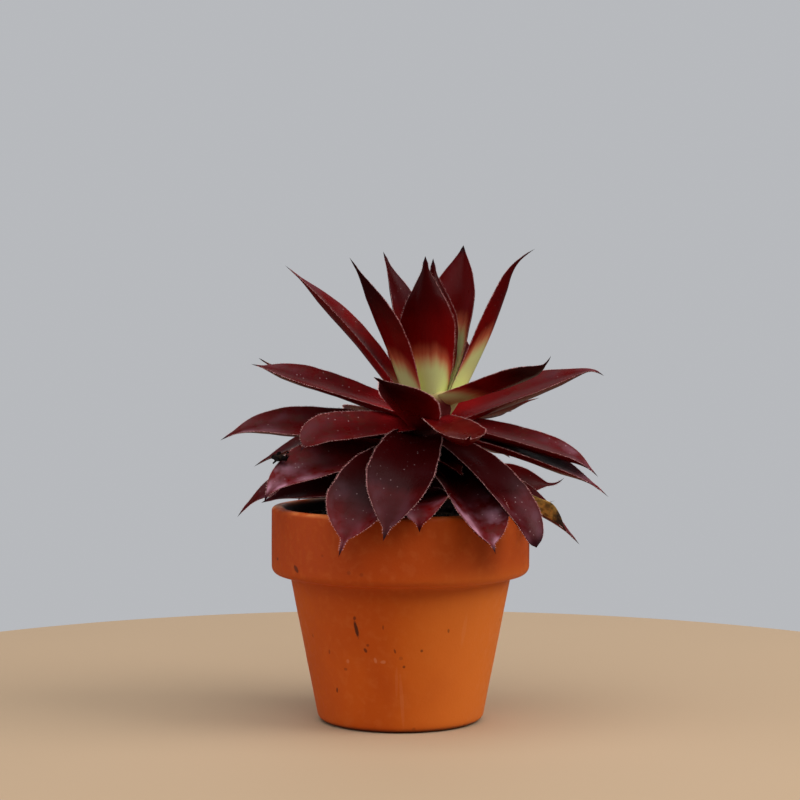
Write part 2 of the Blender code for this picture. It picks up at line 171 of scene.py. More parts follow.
def node(tree, kind, settings=None, **links):
    new = tree.nodes.new(kind)
    for key, value in (settings or {}).items():
        setattr(new, key, value)
    for key, value in links.items():
        name = key.replace("_", " ")
        socket = new.inputs[int(name[1:])] if name[1:].isdigit() else new.inputs[name]
        if isinstance(value, bpy.types.NodeSocket):
            tree.links.new(value, socket)
        else:
            socket.default_value = value
    return new


def maths(tree, operation, a, b=0.0):
    return node(tree, "ShaderNodeMath", {"operation": operation}, i0=a, i1=b).outputs[0]


def times(tree, a, b):
    return maths(tree, "MULTIPLY", a, b)


def plus(tree, a, b):
    return maths(tree, "ADD", a, b)


def minus(tree, a, b):
    return maths(tree, "SUBTRACT", a, b)


def cloudy(tree, place, scale, detail=2.0, **more):
    return node(tree, "ShaderNodeTexNoise", Vector=place, Scale=scale, Detail=detail, **more).outputs["Fac"]


def ownPlace(tree):
    return node(tree, "ShaderNodeTexCoord").outputs["Object"]


def paint(tree, shader, colour):
    tree.links.new(colour, shader.inputs["Base Color"])


def addBump(tree, shader, height, strength, distance):
    bump = node(tree, "ShaderNodeBump", Strength=strength, Distance=distance, Height=height)
    tree.links.new(bump.outputs["Normal"], shader.inputs["Normal"])


def varyRoughness(tree, shader, value, limits):
    rough = node(tree, "ShaderNodeMapRange", Value=value, From_Min=0.3, From_Max=0.7,
                 To_Min=limits[0], To_Max=limits[1])
    tree.links.new(rough.outputs["Result"], shader.inputs["Roughness"])


def rampUp(tree, value, low, high):
    # 0 below low, 1 above high, smooth between
    remap = node(tree, "ShaderNodeMapRange", {"interpolation_type": "SMOOTHSTEP"},
                 Value=value, From_Min=low, From_Max=high, To_Min=0.0, To_Max=1.0)
    return remap.outputs["Result"]


def blendColour(tree, share, a, b):
    mix = tree.nodes.new("ShaderNodeMix")
    mix.data_type = "RGBA"
    mix.clamp_factor = True
    for socket, value in ((mix.inputs["Factor"], share), (mix.inputs[6], a), (mix.inputs[7], b)):
        if isinstance(value, bpy.types.NodeSocket):
            tree.links.new(value, socket)
        elif isinstance(value, tuple):
            socket.default_value = (*value, 1.0)
        else:
            socket.default_value = value
    return mix.outputs[2]


def layOver(tree, colour, over, mask, amount):
    return blendColour(tree, times(tree, mask, amount), colour, over)


def newGroup(name, inputs, outputs):
    tree = bpy.data.node_groups.new(name, "ShaderNodeTree")
    for label, kind, value in inputs:
        socket = tree.interface.new_socket(label, in_out="INPUT", socket_type=kind)
        if value is not None:
            socket.default_value = value
    for label, kind in outputs:
        tree.interface.new_socket(label, in_out="OUTPUT", socket_type=kind)
    return tree, tree.nodes.new("NodeGroupInput").outputs, tree.nodes.new("NodeGroupOutput").inputs


def useGroup(tree, group, output, **links):
    return node(tree, "ShaderNodeGroup", {"node_tree": group}, **links).outputs[output]


number, direction = "NodeSocketFloat", "NodeSocketVector"


def specksGroup():
    # sparse round specks: one in some of the cells of a scattered pattern
    tree, given, result = newGroup("specks", [("Vector", direction, None), ("Scale", number, 400.0),
                                              ("Amount", number, 0.2), ("Size", number, 0.25)],
                                   [("Mask", number)])
    cells = node(tree, "ShaderNodeTexVoronoi", Vector=given["Vector"], Scale=given["Scale"])
    pick = node(tree, "ShaderNodeSeparateColor", Color=cells.outputs["Color"]).outputs[0]
    chosen = maths(tree, "LESS_THAN", pick, given["Amount"])
    edge = times(tree, given["Size"], 0.5)
    near = rampUp(tree, cells.outputs["Distance"], given["Size"], edge)
    tree.links.new(times(tree, chosen, near), result["Mask"])
    return tree


def reliefGroup():
    # a coarse swell with a fine grain on it
    tree, given, result = newGroup("relief", [("Vector", direction, None), ("Coarse", number, 60.0),
                                              ("Fine", number, 900.0), ("Fine Share", number, 0.4)],
                                   [("Height", number)])
    coarse = cloudy(tree, given["Vector"], given["Coarse"], 3.0)
    fine = cloudy(tree, given["Vector"], given["Fine"])
    height = node(tree, "ShaderNodeMix", {"data_type": "FLOAT"}, Factor=given["Fine Share"],
                  i2=coarse, i3=fine).outputs[0]
    tree.links.new(height, result["Height"])
    return tree


def patchGroup():
    # one soft oval mark at a place on the front of the pot
    tree, given, result = newGroup("patch", [("Vector", direction, None), ("Across", number, 0.0),
                                             ("Up", number, 0.0), ("Width", number, 0.001),
                                             ("Height", number, 0.001), ("Lean", number, 0.0)],
                                   [("Mask", number)])
    part = node(tree, "ShaderNodeSeparateXYZ", Vector=given["Vector"]).outputs
    ragged = cloudy(tree, given["Vector"], 1400.0)
    dx = minus(tree, part["X"], given["Across"])
    dz = minus(tree, part["Z"], given["Up"])
    dx = plus(tree, dx, times(tree, dz, given["Lean"]))
    dx = maths(tree, "POWER", maths(tree, "DIVIDE", dx, given["Width"]), 2.0)
    dz = maths(tree, "POWER", maths(tree, "DIVIDE", dz, given["Height"]), 2.0)
    far = plus(tree, plus(tree, dx, dz), times(tree, ragged, 0.8))
    inside = rampUp(tree, far, 1.6, 0.7)
    front = maths(tree, "LESS_THAN", part["Y"], 0.0)
    tree.links.new(times(tree, inside, front), result["Mask"])
    return tree


specks = specksGroup()
relief = reliefGroup()
patch = patchGroup()
print("shared effects ready")


# Clay pot: millimetres, heights from the foot
clayPot = {
    "sides": 144,
    "rimRadius": 40.0, "lipRadius": 36.0, "height": 66.3, "rimUnderside": 45.4,
    "footRadius": 25.5, "wallTaper": 0.196, "boreRadius": 21.9, "boreTaper": 0.205,
    "floor": 4.5, "drainRadius": 5.0,
    "lipRounding": 1.2, "rimRounding": 2.5, "shoulderRounding": 1.2, "footRounding": 2.0,
    "floorRounding": 1.5, "footBand": 3.2, "rimBand": 3.6, "edgeBand": 2, "floorRing": 15.0,
    "ringSpacing": 3.0, "boreSpacing": 6, "unevenness": 0.25,
    # the rim's darker clay here is painted shade from the leaves above it
    "clay": (0.60, 0.097, 0.002), "darkClay": (0.53, 0.077, 0.0015), "rimShadeClay": (0.42, 0.046, 0.001),
    # the first colour here is painted light: paler clay on the right side
    "litSideClay": (0.72, 0.185, 0.022), "paleClay": (0.74, 0.24, 0.065),
    # the first colour here darkens the bore: soil stain and painted shade
    "boreStainAndShade": (0.010, 0.005, 0.003), "soot": (0.022, 0.008, 0.004), "lime": (0.70, 0.27, 0.12),
    "roughness": (0.50, 0.72), "gloss": 0.2,
    # where each tone of the clay begins and is full: heights, but for the painted light on the right side the
    # way to the right
    "rimShadeFrom": (42, 56), "lipBloomFrom": (65.2, 66.2), "litSideFrom": (-2, 34),
    "soilLine": (68.2, 65.6), "footDarkening": (1.7, 0.5),
}

# marks seen on the front (mm): across from the axis, height, half width, half height, then lean and strength
darkMarks = [
    (-13.2, 32.0, 0.62, 2.9, 0.22, 0.85),
    (-13.7, 35.4, 0.5, 0.7, 0.0, 0.6),
    (-5.2, 32.9, 0.28, 0.8, 0.0, 0.45),
    (14.3, 31.4, 0.35, 0.7, 0.0, 0.5),
    (-10.5, 25.6, 0.55, 0.8, 0.3, 0.7),
    (-9.8, 27.2, 0.5, 0.5, 0.0, 0.5),
    (-1.7, 25.6, 0.35, 0.8, 0.3, 0.6),
    (6.3, 25.6, 0.45, 0.5, 0.0, 0.6),
    (1.0, 20.8, 0.5, 0.5, 0.0, 0.6),
    (-19.2, 12.2, 0.32, 0.9, 0.0, 0.7),
    (-31.3, 49.5, 0.7, 1.2, 0.35, 0.7),
    (-37.5, 51.3, 0.4, 0.5, 0.0, 0.5),
    (-16.5, 19.2, 0.6, 0.5, 0.0, 0.35),
    (-21.5, 24.0, 0.3, 0.8, 0.0, 0.4),
]
paleMarks = [
    (-7.5, 22.6, 0.5, 0.9, 0.2, 0.4),
    (-5.2, 22.2, 0.9, 0.6, 0.0, 0.4),
    (-15.8, 21.8, 0.5, 0.7, 0.0, 0.35),
    (0.4, 10.0, 0.6, 9.0, 0.06, 0.14),
    (19.0, 31.0, 0.7, 5.5, -0.15, 0.12),
    (-1.2, 16.0, 0.5, 5.0, 0.0, 0.10),
]


def selectRing(piece, radius, height):
    # choose the ring of edges at this radius and height from the pot's axis
    takeUp(piece)
    bpy.ops.object.mode_set(mode="EDIT")
    bpy.ops.mesh.select_all(action="DESELECT")
    bpy.ops.mesh.select_mode(type="EDGE")
    putDown()
    near = 0.02 * mm
    chosen = set()
    for vertex in piece.data.vertices:
        away = math.hypot(vertex.co.x, vertex.co.y)
        if abs(away - radius * mm) < near and abs(vertex.co.z - height * mm) < near:
            chosen.add(vertex.index)
    for edge in piece.data.edges:
        edge.select = edge.vertices[0] in chosen and edge.vertices[1] in chosen
    bpy.ops.object.mode_set(mode="EDIT")


def evenHeights(low, high, spacing):
    count = max(1, round(abs(high - low) / spacing))
    return [low + (high - low) * i / count for i in range(1, count)]


def makePot(size):
    wall = lambda z: size["footRadius"] + size["wallTaper"] * z
    bore = lambda z: size["boreRadius"] + size["boreTaper"] * z
    rim, lip, top = size["rimRadius"], size["lipRadius"], size["height"]
    under, floor, drain = size["rimUnderside"], size["floor"], size["drainRadius"]
    inside, footBand, band = top - 2 * size["lipRounding"], size["footBand"], size["edgeBand"]
    rimFrom, spacing, ring = under + size["rimBand"], size["ringSpacing"], size["floorRing"]
    outline = [(ring, 0), (wall(0), 0), (wall(footBand), footBand)]
    outline += [(wall(z), z) for z in evenHeights(footBand, under - band, spacing)]
    outline += [(wall(under - band), under - band), (wall(under), under), (rim, under), (rim, rimFrom)]
    outline += [(rim, z) for z in evenHeights(rimFrom, top - band, spacing)]
    outline += [(rim, top - band), (rim, top), (lip, top), (bore(inside), inside)]
    outline += [(bore(z), z) for z in evenHeights(inside, floor + band, size["boreSpacing"])]
    outline += [(bore(floor + band), floor + band), (bore(floor), floor), (ring, floor), (drain, floor)]
    dropSelection()
    bpy.ops.mesh.primitive_circle_add(vertices=size["sides"], radius=drain * mm, location=(0, 0, 0))
    pot = startPiece("clayPot")
    openUp()
    radius, height = drain, 0.0
    for nextRadius, nextHeight in outline + [(drain, 0.0)]:
        growRing((0, 0, nextHeight - height), nextRadius / radius, (0, 0, nextHeight))
        radius, height = nextRadius, nextHeight
    closeUp(pot)
    corners = [(rim, under, size["rimRounding"], 7), (wall(under), under, size["shoulderRounding"], 4),
               (wall(0), 0, size["footRounding"], 5), (rim, top, size["lipRounding"], 5),
               (lip, top, size["lipRounding"], 5), (bore(floor), floor, size["floorRounding"], 4)]
    for cornerRadius, cornerHeight, rounding, steps in corners:
        selectRing(pot, cornerRadius, cornerHeight)
        bpy.ops.mesh.bevel(offset=rounding * mm, segments=steps, affect="EDGES")
        putDown()
    spread(pot, clouds("throwing", 0.022), size["unevenness"] * mm)
    places = coordinates(pot)
    places[:, 2] = np.maximum(places[:, 2], 0)
    setCoordinates(pot, places)
    smoothOver(pot)
    pot.location = potAxis
    return settle(pot)


def clayFinish(size):
    finish, tree, shader = newFinish("firedClay", size["clay"], gloss=size["gloss"])
    place = ownPlace(tree)
    centred = node(tree, "ShaderNodeMapping", Vector=place, Location=(-potAxis.x, -potAxis.y, 0)).outputs[0]
    part = node(tree, "ShaderNodeSeparateXYZ", Vector=centred).outputs
    broad = cloudy(tree, centred, 32.0, 3.0, Distortion=0.6)
    fine = cloudy(tree, centred, 420.0, 4.0)
    colour = blendColour(tree, rampUp(tree, broad, 0.36, 0.66), size["darkClay"], size["clay"])
    # painted shade: the rim is darker than the wall, as the leaves above shade it
    dampAndShade = rampUp(tree, plus(tree, part["Z"], times(tree, broad, 8 * mm)), *inMm(size["rimShadeFrom"]))
    colour = layOver(tree, colour, size["rimShadeClay"], dampAndShade, 0.8)
    colour = blendColour(tree, times(tree, rampUp(tree, fine, 0.45, 0.75), 0.12), colour, size["paleClay"])
    # pale bloom worn onto the lip
    lipBand = rampUp(tree, part["Z"], *inMm(size["lipBloomFrom"]))
    scuff = rampUp(tree, cloudy(tree, centred, 90.0, 5.0), 0.4, 0.62)
    colour = blendColour(tree, times(tree, lipBand, times(tree, scuff, 0.7)), colour, size["paleClay"])
    # painted light: the clay is paler on the right side, towards the light, less so where the rim is painted
    # in shade
    litSide = rampUp(tree, plus(tree, part["X"], times(tree, broad, 16 * mm)), *inMm(size["litSideFrom"]))
    litSide = times(tree, litSide, minus(tree, 1.0, times(tree, dampAndShade, 0.85)))
    colour = layOver(tree, colour, size["litSideClay"], litSide, 0.8)
    # upright faint water streaks
    thin = node(tree, "ShaderNodeMapping", Vector=centred, Scale=(160, 160, 9)).outputs[0]
    streak = cloudy(tree, thin, 1.0)
    colour = blendColour(tree, times(tree, rampUp(tree, streak, 0.6, 0.8), 0.10), colour, size["paleClay"])
    pits = useGroup(tree, specks, "Mask", Vector=centred, Scale=260.0, Amount=0.05, Size=0.2)
    colour = layOver(tree, colour, size["soot"], pits, 0.22)
    for marks, markColour in ((darkMarks, size["soot"]), (paleMarks, size["lime"])):
        for across, up, width, height, lean, amount in marks:
            spot = useGroup(tree, patch, "Mask", Vector=centred, Across=across * mm, Up=up * mm,
                            Width=width * mm, Height=height * mm, Lean=lean)
            colour = layOver(tree, colour, markColour, spot, amount)
    # soil stain and painted shade darken the bore below the lip
    level = node(tree, "ShaderNodeCombineXYZ", X=part["X"], Y=part["Y"]).outputs[0]
    away = node(tree, "ShaderNodeVectorMath", {"operation": "LENGTH"}, Vector=level).outputs["Value"]
    bore = minus(tree, away, times(tree, part["Z"], size["boreTaper"]))
    boreMask = rampUp(tree, bore, (size["boreRadius"] + 1.9) * mm, (size["boreRadius"] + 1.1) * mm)
    depth = rampUp(tree, plus(tree, part["Z"], times(tree, broad, 1.5 * mm)), *inMm(size["soilLine"]))
    stainAndShade = times(tree, boreMask, depth)
    colour = blendColour(tree, stainAndShade, colour, size["boreStainAndShade"])
    # the pot is darker in a thin band at the foot
    foot = rampUp(tree, plus(tree, part["Z"], times(tree, fine, 0.5 * mm)), *inMm(size["footDarkening"]))
    colour = layOver(tree, colour, size["soot"], foot, 0.7)
    paint(tree, shader, colour)
    varyRoughness(tree, shader, fine, size["roughness"])
    grain = useGroup(tree, relief, "Height", Vector=centred, Coarse=180.0, Fine=1500.0, Fine_Share=0.5)
    grain = minus(tree, grain, times(tree, pits, 0.5))
    addBump(tree, shader, grain, 0.35, 0.00025)
    return finish


pot = makePot(clayPot)
pot.data.materials.append(clayFinish(clayPot))
print("pot thrown:", len(pot.data.polygons), "faces")


# Potting soil: fills the bore to a few millimetres under the lip
pottingSoil = {
    "sides": 96, "wallRings": 10, "rings": 26, "level": 62.5, "mound": 2.6, "bottom": 4.8,
    "topRadius": 34.4, "bottomRadius": 22.6, "lumps": 1.6, "grit": 1.1,
    "crumbs": 620, "crumbSize": (0.5, 2.1), "crumbShape": (1.0, 0.8, 0.62), "crumbUnevenness": 0.35,
    "crumbTilt": 0.6, "crumbRise": 0.25, "crumbMargin": 1.2, "seed": 5,
    "earth": (0.0095, 0.0060, 0.0042), "dryEarth": (0.036, 0.022, 0.013), "fibre": (0.12, 0.075, 0.040),
    "roughness": (0.72, 0.98), "gloss": 0.1,
}


def makeSoil(size):
    dropSelection()
    bpy.ops.mesh.primitive_circle_add(vertices=size["sides"], radius=size["bottomRadius"] * mm,
                                      fill_type="NGON", location=(0, 0, size["bottom"] * mm))
    soil = settle(startPiece("pottingSoil"))
    openUp()
    radius, height = size["bottomRadius"], size["bottom"]
    for i in range(size["wallRings"]):
        share = (i + 1) / size["wallRings"]
        nextHeight = size["bottom"] + (size["level"] - size["bottom"]) * share
        nextRadius = size["bottomRadius"] + (size["topRadius"] - size["bottomRadius"]) * share
        growRing((0, 0, nextHeight - height), nextRadius / radius, (0, 0, nextHeight))
        radius, height = nextRadius, nextHeight
    for _ in range(size["rings"]):
        bpy.ops.mesh.inset(thickness=size["topRadius"] * mm / (size["rings"] + 1.2))
    bpy.ops.mesh.poke()
    putDown()
    top = soil.vertex_groups.new(name="top")
    places = coordinates(soil)
    for i, (x, y, z) in enumerate(places):
        if z > (size["level"] - 0.1) * mm:
            share = math.hypot(x, y) / (size["topRadius"] * mm)
            top.add([i], min(1.0, (1 - share) * 8), "REPLACE")
            places[i, 2] += size["mound"] * mm * (1 - min(1, share) ** 2)
    setCoordinates(soil, places)
    spread(soil, clouds("clods", 0.007), size["lumps"] * mm, "top")
    spread(soil, clouds("grit", 0.0016), size["grit"] * mm, "top")
    soil.vertex_groups.clear()
    closeUp(soil)
    return soil


def makeCrumbs(soil, size):
    # one rounded crumb, copied over the surface and half sunk into it
    dropSelection()
    bpy.ops.mesh.primitive_ico_sphere_add(subdivisions=1, radius=1)
    crumb = startPiece("crumb")
    openUp()
    bpy.ops.transform.resize(value=size["crumbShape"])
    bpy.ops.mesh.bevel(offset=0.16, segments=1, affect="VERTICES")
    putDown()
    shape = coordinates(crumb)
    chance = random.Random(size["seed"])
    crumbs = []
    for i in range(size["crumbs"]):
        away = (size["topRadius"] - size["crumbMargin"]) * mm * math.sqrt(chance.random())
        angle = chance.uniform(0, 2 * math.pi)
        x, y = away * math.cos(angle), away * math.sin(angle)
        hit, spot, _, _ = soil.ray_cast((x, y, 0.09), (0, 0, -1))
        if not hit:
            continue
        low, high = size["crumbSize"]
        scale = (low + (high - low) * chance.random() ** 3) * mm / 2
        turned = copyOf(crumb, "crumb")
        own = Vector((i * 3.1, 0, 0))
        wobble = np.array([1 + size["crumbUnevenness"] * noise.noise(Vector(p) * 1.7 + own) for p in shape])
        spin = chance.uniform(0, 2 * math.pi)
        pitch = chance.uniform(-size["crumbTilt"], size["crumbTilt"])
        moved = shape * wobble[:, None] * scale
        cosS, sinS, cosP, sinP = math.cos(spin), math.sin(spin), math.cos(pitch), math.sin(pitch)
        tipped = np.stack([moved[:, 0] * cosP + moved[:, 2] * sinP, moved[:, 1],
                           moved[:, 2] * cosP - moved[:, 0] * sinP], 1)
        laid = np.stack([tipped[:, 0] * cosS - tipped[:, 1] * sinS,
                         tipped[:, 0] * sinS + tipped[:, 1] * cosS, tipped[:, 2]], 1)
        setCoordinates(turned, laid + np.array(spot) + np.array([0, 0, scale * size["crumbRise"]]))
        crumbs.append(turned)
    bpy.data.objects.remove(crumb)
    return crumbs


def earthFinish(size):
    finish, tree, shader = newFinish("pottingSoil", size["earth"], gloss=size["gloss"])
    place = ownPlace(tree)
    dampAndShade = cloudy(tree, place, 120.0, 4.0)
    colour = blendColour(tree, rampUp(tree, dampAndShade, 0.45, 0.75), size["earth"], size["dryEarth"])
    stretched = node(tree, "ShaderNodeMapping", Vector=place, Scale=(900, 220, 500),
                     Rotation=(0.2, 0.3, 0.7)).outputs[0]
    fibre = cloudy(tree, stretched, 1.0, 1.0)
    colour = blendColour(tree, times(tree, rampUp(tree, fibre, 0.68, 0.76), 0.6), colour, size["fibre"])
    grit = useGroup(tree, specks, "Mask", Vector=place, Scale=700.0, Amount=0.08, Size=0.3)
    colour = layOver(tree, colour, size["fibre"], grit, 0.5)
    paint(tree, shader, colour)
    varyRoughness(tree, shader, dampAndShade, size["roughness"])
    grain = useGroup(tree, relief, "Height", Vector=place, Coarse=500.0, Fine=2200.0, Fine_Share=0.45)
    addBump(tree, shader, grain, 0.9, 0.0006)
    return finish


earth = earthFinish(pottingSoil)
soil = makeSoil(pottingSoil)
soil = joinAll([soil] + makeCrumbs(soil, pottingSoil), "pottingSoil")
soil.location = potAxis
settle(soil)
soil.data.materials.append(earth)
smoothOver(soil)
print("soil filled:", len(soil.data.polygons), "faces")


# Stem and leaves: the stem leans to the right above the soil
stemShape = {"x": 3.0, "y": 1.0, "bottom": 48.0, "bend": 66.5, "lean": (0.2, -0.03), "top": 105.0,
             "footRadius": 4.2, "crownRadius": 7.0, "swollenFrom": 89.0, "rings": 40, "scars": 1.2,
             "bark": (0.012, 0.005, 0.003), "paleBark": (0.055, 0.020, 0.012), "flesh": (0.16, 0.006, 0.006),
             "crown": (0.55, 0.50, 0.18), "fleshFrom": (84, 92), "crownFrom": (98, 103),
             "roughness": 0.8, "sides": 28, "firstStep": 0.4, "domeFrom": 0.85, "domeFlat": 0.05}

# one blade: sides round it, rings along it, and the form of its section (mm)
blade = {
    "sides": 36, "rings": 60, "crowding": 0.35, "pathSteps": 240, "rootDepth": 1.0,
    "thickness": 2.6, "tipThinning": 0.4, "marginFullness": 1.6, "upperShare": 0.3,
    "edgeSharpness": 1.45, "cupping": 0.35, "cupLevel": 0.3, "baseWidth": 0.5, "spikeWidth": 0.1,
    "edgeWaver": 0.02, "surfaceWaver": 0.16,
}

usualLeaf = {"offset": 2, "arch": 0, "hook": 0, "hookFrom": 0.8, "sway": 0, "roll": 0, "widest": 0.5,
             "taper": 1.2, "cusp": 0.06, "fold": 0.0,
             "tint": 0.8, "green": -0.4, "deep": 0.35, "canopyShade": 0.0, "bloomAndSheen": 0.2}

# tip is measured from the foot of the pot's axis, root is a height on the stem;
# tint goes from red to brown, green is how far the yellow-green base reaches,
# deep is how near to black the outer end goes, the next sets the painted shade that darkens the inner half
# under the leaves above, and the last is the grey-mauve waxy bloom with painted sheen
crownLeaves = [
    dict(tip=(-36, 3, 141), root=96, offset=5, width=14, arch=18, roll=12, taper=1.0, cusp=0.08, tint=0.45,
         green=0.14, deep=0.35, bloomAndSheen=0.2),
    dict(tip=(-15.5, -14, 143), root=96, offset=5, width=18, arch=20, roll=12, tint=0.05, green=0.3,
         deep=1.0, bloomAndSheen=0.0),
    dict(tip=(-5.5, 12, 145.5), root=97, width=16, arch=-6, hook=10, sway=34, cusp=0.05, tint=0.4,
         green=0.2, deep=0.8, bloomAndSheen=0.1),
    dict(tip=(7.5, -12, 143.5), root=97, width=17, arch=-12, cusp=0.05, tint=0.0, green=0.32, deep=0.9,
         bloomAndSheen=0.0),
    dict(tip=(10, -4, 143), root=97, width=17, arch=-12, tint=0.1, green=0.36, deep=0.9, bloomAndSheen=0.0),
    dict(tip=(19.8, 12, 147.5), root=96, width=25, arch=-10, hook=10, roll=10, widest=0.58, taper=0.85,
         cusp=0.03, tint=0.1, green=0.48, deep=0.3, bloomAndSheen=0.1),
    dict(tip=(41.5, -2, 146), root=95, offset=5, width=13, arch=-10, hook=-40, hookFrom=0.72, roll=8,
         tint=0.1, green=0.42, deep=0.7, bloomAndSheen=0.1),
]
levelLeaves = [
    dict(tip=(-46, -6, 110.5), root=94.5, offset=4, width=12.5, arch=6, roll=28, widest=0.62, taper=0.85,
         cusp=0.06, tint=0.75, green=0.02, deep=0.3, bloomAndSheen=0.2),
    dict(tip=(-45, 14, 112), root=92.5, width=12, arch=2, hook=14, roll=-14, cusp=0.03),
    dict(tip=(-55.5, -6, 87), root=90.5, width=17, hook=-30, hookFrom=0.7, roll=28, widest=0.58, taper=1.0,
         tint=1.0, bloomAndSheen=0.7),
    dict(tip=(-30, -24, 84.8), root=91.5, width=14.5, arch=11, hook=-40, hookFrom=0.72, roll=30,
         widest=0.66, taper=0.5, cusp=0.05, tint=0.75, bloomAndSheen=0.1),
    dict(tip=(-8, -36, 107.5), root=90, width=17, arch=8, sway=-22, widest=0.45, tint=0.1, green=-0.1,
         deep=1.0, bloomAndSheen=0.0),
    dict(tip=(20.5, -40, 90.5), root=94, width=15.5, arch=12, hook=50, hookFrom=0.82, widest=0.72,
         taper=0.5, cusp=0.08, tint=0.2, deep=0.6, canopyShade=0.4, bloomAndSheen=0.0),
    dict(tip=(45, -24, 113.5), root=99, width=13.5, arch=-8, hook=40, hookFrom=0.84, roll=6, widest=0.66,
         taper=0.8, cusp=0.08, tint=0.0, green=0.32, deep=1.0, bloomAndSheen=0.0),
    dict(tip=(63.5, 4, 106.5), root=90.5, width=17, arch=8, hook=-50, hookFrom=0.86, roll=-20, cusp=0.05,
         tint=0.6, bloomAndSheen=0.2),
    dict(tip=(44.5, 22, 99), root=91, width=11, roll=6, tint=0.5),
    dict(tip=(60.5, -10, 76), root=93.5, width=15, arch=8, hook=-26, hookFrom=0.72, roll=-14, widest=0.6,
         taper=0.9, tint=0.8, bloomAndSheen=0.7),
    dict(tip=(63.5, -12, 70), root=90, width=15, arch=25, hook=-10, roll=-14, cusp=0.08, tint=0.8,
         bloomAndSheen=0.8),
]
droopingLeaves = [
    dict(tip=(-46, 6, 78), root=86, width=16, arch=48, roll=18, tint=0.7),
    dict(tip=(-51, 2, 62.5), root=75, width=15, arch=10, hook=-40, hookFrom=0.6, roll=40, cusp=0.08),
    dict(tip=(-41, -22, 69.5), root=83, width=18, arch=40, hook=-30, roll=30, widest=0.56, taper=0.8,
         cusp=0.05, tint=0.9, deep=0.0, bloomAndSheen=2.0),
    dict(tip=(-42, -20, 69), root=75.5, width=19, arch=20, roll=30, tint=0.4, deep=0.6, canopyShade=0.8, bloomAndSheen=0.1),
    dict(tip=(-18, -46, 55.5), root=82, width=20, arch=76, sway=-7, roll=12, widest=0.68, taper=0.75,
         cusp=0.09, tint=0.5, deep=0.2, canopyShade=1.2, bloomAndSheen=0.38),
    dict(tip=(-5, -49, 60.5), root=88.2, width=20, arch=72, sway=-10, roll=6, widest=0.62, taper=0.85,
         cusp=0.06, tint=0.4, deep=0.8, canopyShade=1.4, bloomAndSheen=0.15),
    dict(tip=(5.5, -44, 62.5), root=71, width=18, arch=8, hook=-84, hookFrom=0.74, widest=0.72, taper=0.75,
         cusp=0.05, tint=0.5, deep=0.1, canopyShade=0.7, bloomAndSheen=0.5),
    dict(tip=(27.5, -46, 56.5), root=80, width=17, arch=51, widest=0.72, taper=0.66, cusp=0.06, fold=0.25,
         tint=0.7, deep=0.0, canopyShade=1.0, bloomAndSheen=2.0),
    dict(tip=(40, -36, 57.2), root=88, width=16, arch=54, hook=-24, sway=16, widest=0.6, taper=0.45,
         cusp=0.01, tint=0.5, deep=0.7, canopyShade=1.3, bloomAndSheen=0.25),
    dict(tip=(52, 14, 74), root=73, width=11, arch=14, hook=50, hookFrom=0.85, roll=-62, widest=0.6,
         taper=1.0, cusp=0.12, tint=0.3, deep=0.6, bloomAndSheen=0.0),
    dict(tip=(48.5, 5, 67.5), root=79, width=13, arch=44, hook=60, hookFrom=0.85, cusp=0.14, tint=0.5,
         deep=0.5),
    dict(tip=(55, -8, 55), root=79.5, width=15, arch=44, roll=-12, tint=0.7, bloomAndSheen=0.2),
    dict(tip=(18.5, -27, 77.5), root=86, width=11, arch=20, tint=0.3, canopyShade=1.0, bloomAndSheen=0.0),
]

# young heart leaves by the golden angle, and even tiers on the far side
heartRule = {"count": 4, "root": 98, "heading": 20, "rise": 80, "length": 34, "shrink": 3,
             "shape": dict(width=11, arch=-10, offset=1, tint=0.1, green=0.4, deep=0.8, bloomAndSheen=0.0)}
backRule = {
    "seed": 7, "jitter": 4, "shape": dict(widest=0.6, taper=0.9),
    "tiers": [
        dict(count=2, first=74, step=36, root=95, rise=38, reach=44,
             shape=dict(width=14, arch=-4, tint=0.3, green=0.2, deep=0.7)),
        dict(count=4, first=58, step=22, root=92, rise=2, reach=51, shape=dict(width=16, arch=12, tint=0.6)),
        dict(count=4, first=56, step=28, root=86, rise=-8, reach=52, shape=dict(width=17, arch=34, tint=0.8)),
        dict(count=4, first=70, step=24, root=79, rise=-16, reach=52,
             shape=dict(width=18, arch=62, tint=0.9)),
    ],
}


def stemCentre(z):
    rise = max(0.0, z - stemShape["bend"])
    lean = stemShape["lean"]
    return Vector((stemShape["x"] + lean[0] * rise, stemShape["y"] + lean[1] * rise, z))


def reachTo(root, heading, rise, length):
    axis = stemCentre(root)
    flat = math.cos(math.radians(rise)) * length
    return (axis.x + math.cos(math.radians(heading)) * flat, axis.y + math.sin(math.radians(heading)) * flat,
            root + math.sin(math.radians(rise)) * length)


def hiddenLeaves():
    chance = random.Random(backRule["seed"])
    heart, back = [], []
    for i in range(heartRule["count"]):
        tip = reachTo(heartRule["root"], heartRule["heading"] + 137.5 * i, heartRule["rise"] + i,
                      heartRule["length"] - heartRule["shrink"] * i)
        heart.append(dict(heartRule["shape"], tip=tip, root=heartRule["root"]))
    jitter = backRule["jitter"]
    for tier in backRule["tiers"]:
        for i in range(tier["count"]):
            heading = tier["first"] + tier["step"] * i + chance.uniform(-1, 1) * jitter
            rise = tier["rise"] + chance.uniform(-1, 1) * jitter / 2
            length = tier["reach"] + chance.uniform(-1, 1) * jitter / 2
            tip = reachTo(tier["root"], heading, rise, length)
            back.append({**backRule["shape"], **tier["shape"], "tip": tip, "root": tier["root"]})
    return heart, back


def ease(low, high, value):
    share = np.clip((value - low) / (high - low), 0, 1)
    return share * share * (3 - 2 * share)


def unit(vectors):
    return vectors / np.linalg.norm(vectors, axis=-1, keepdims=True)


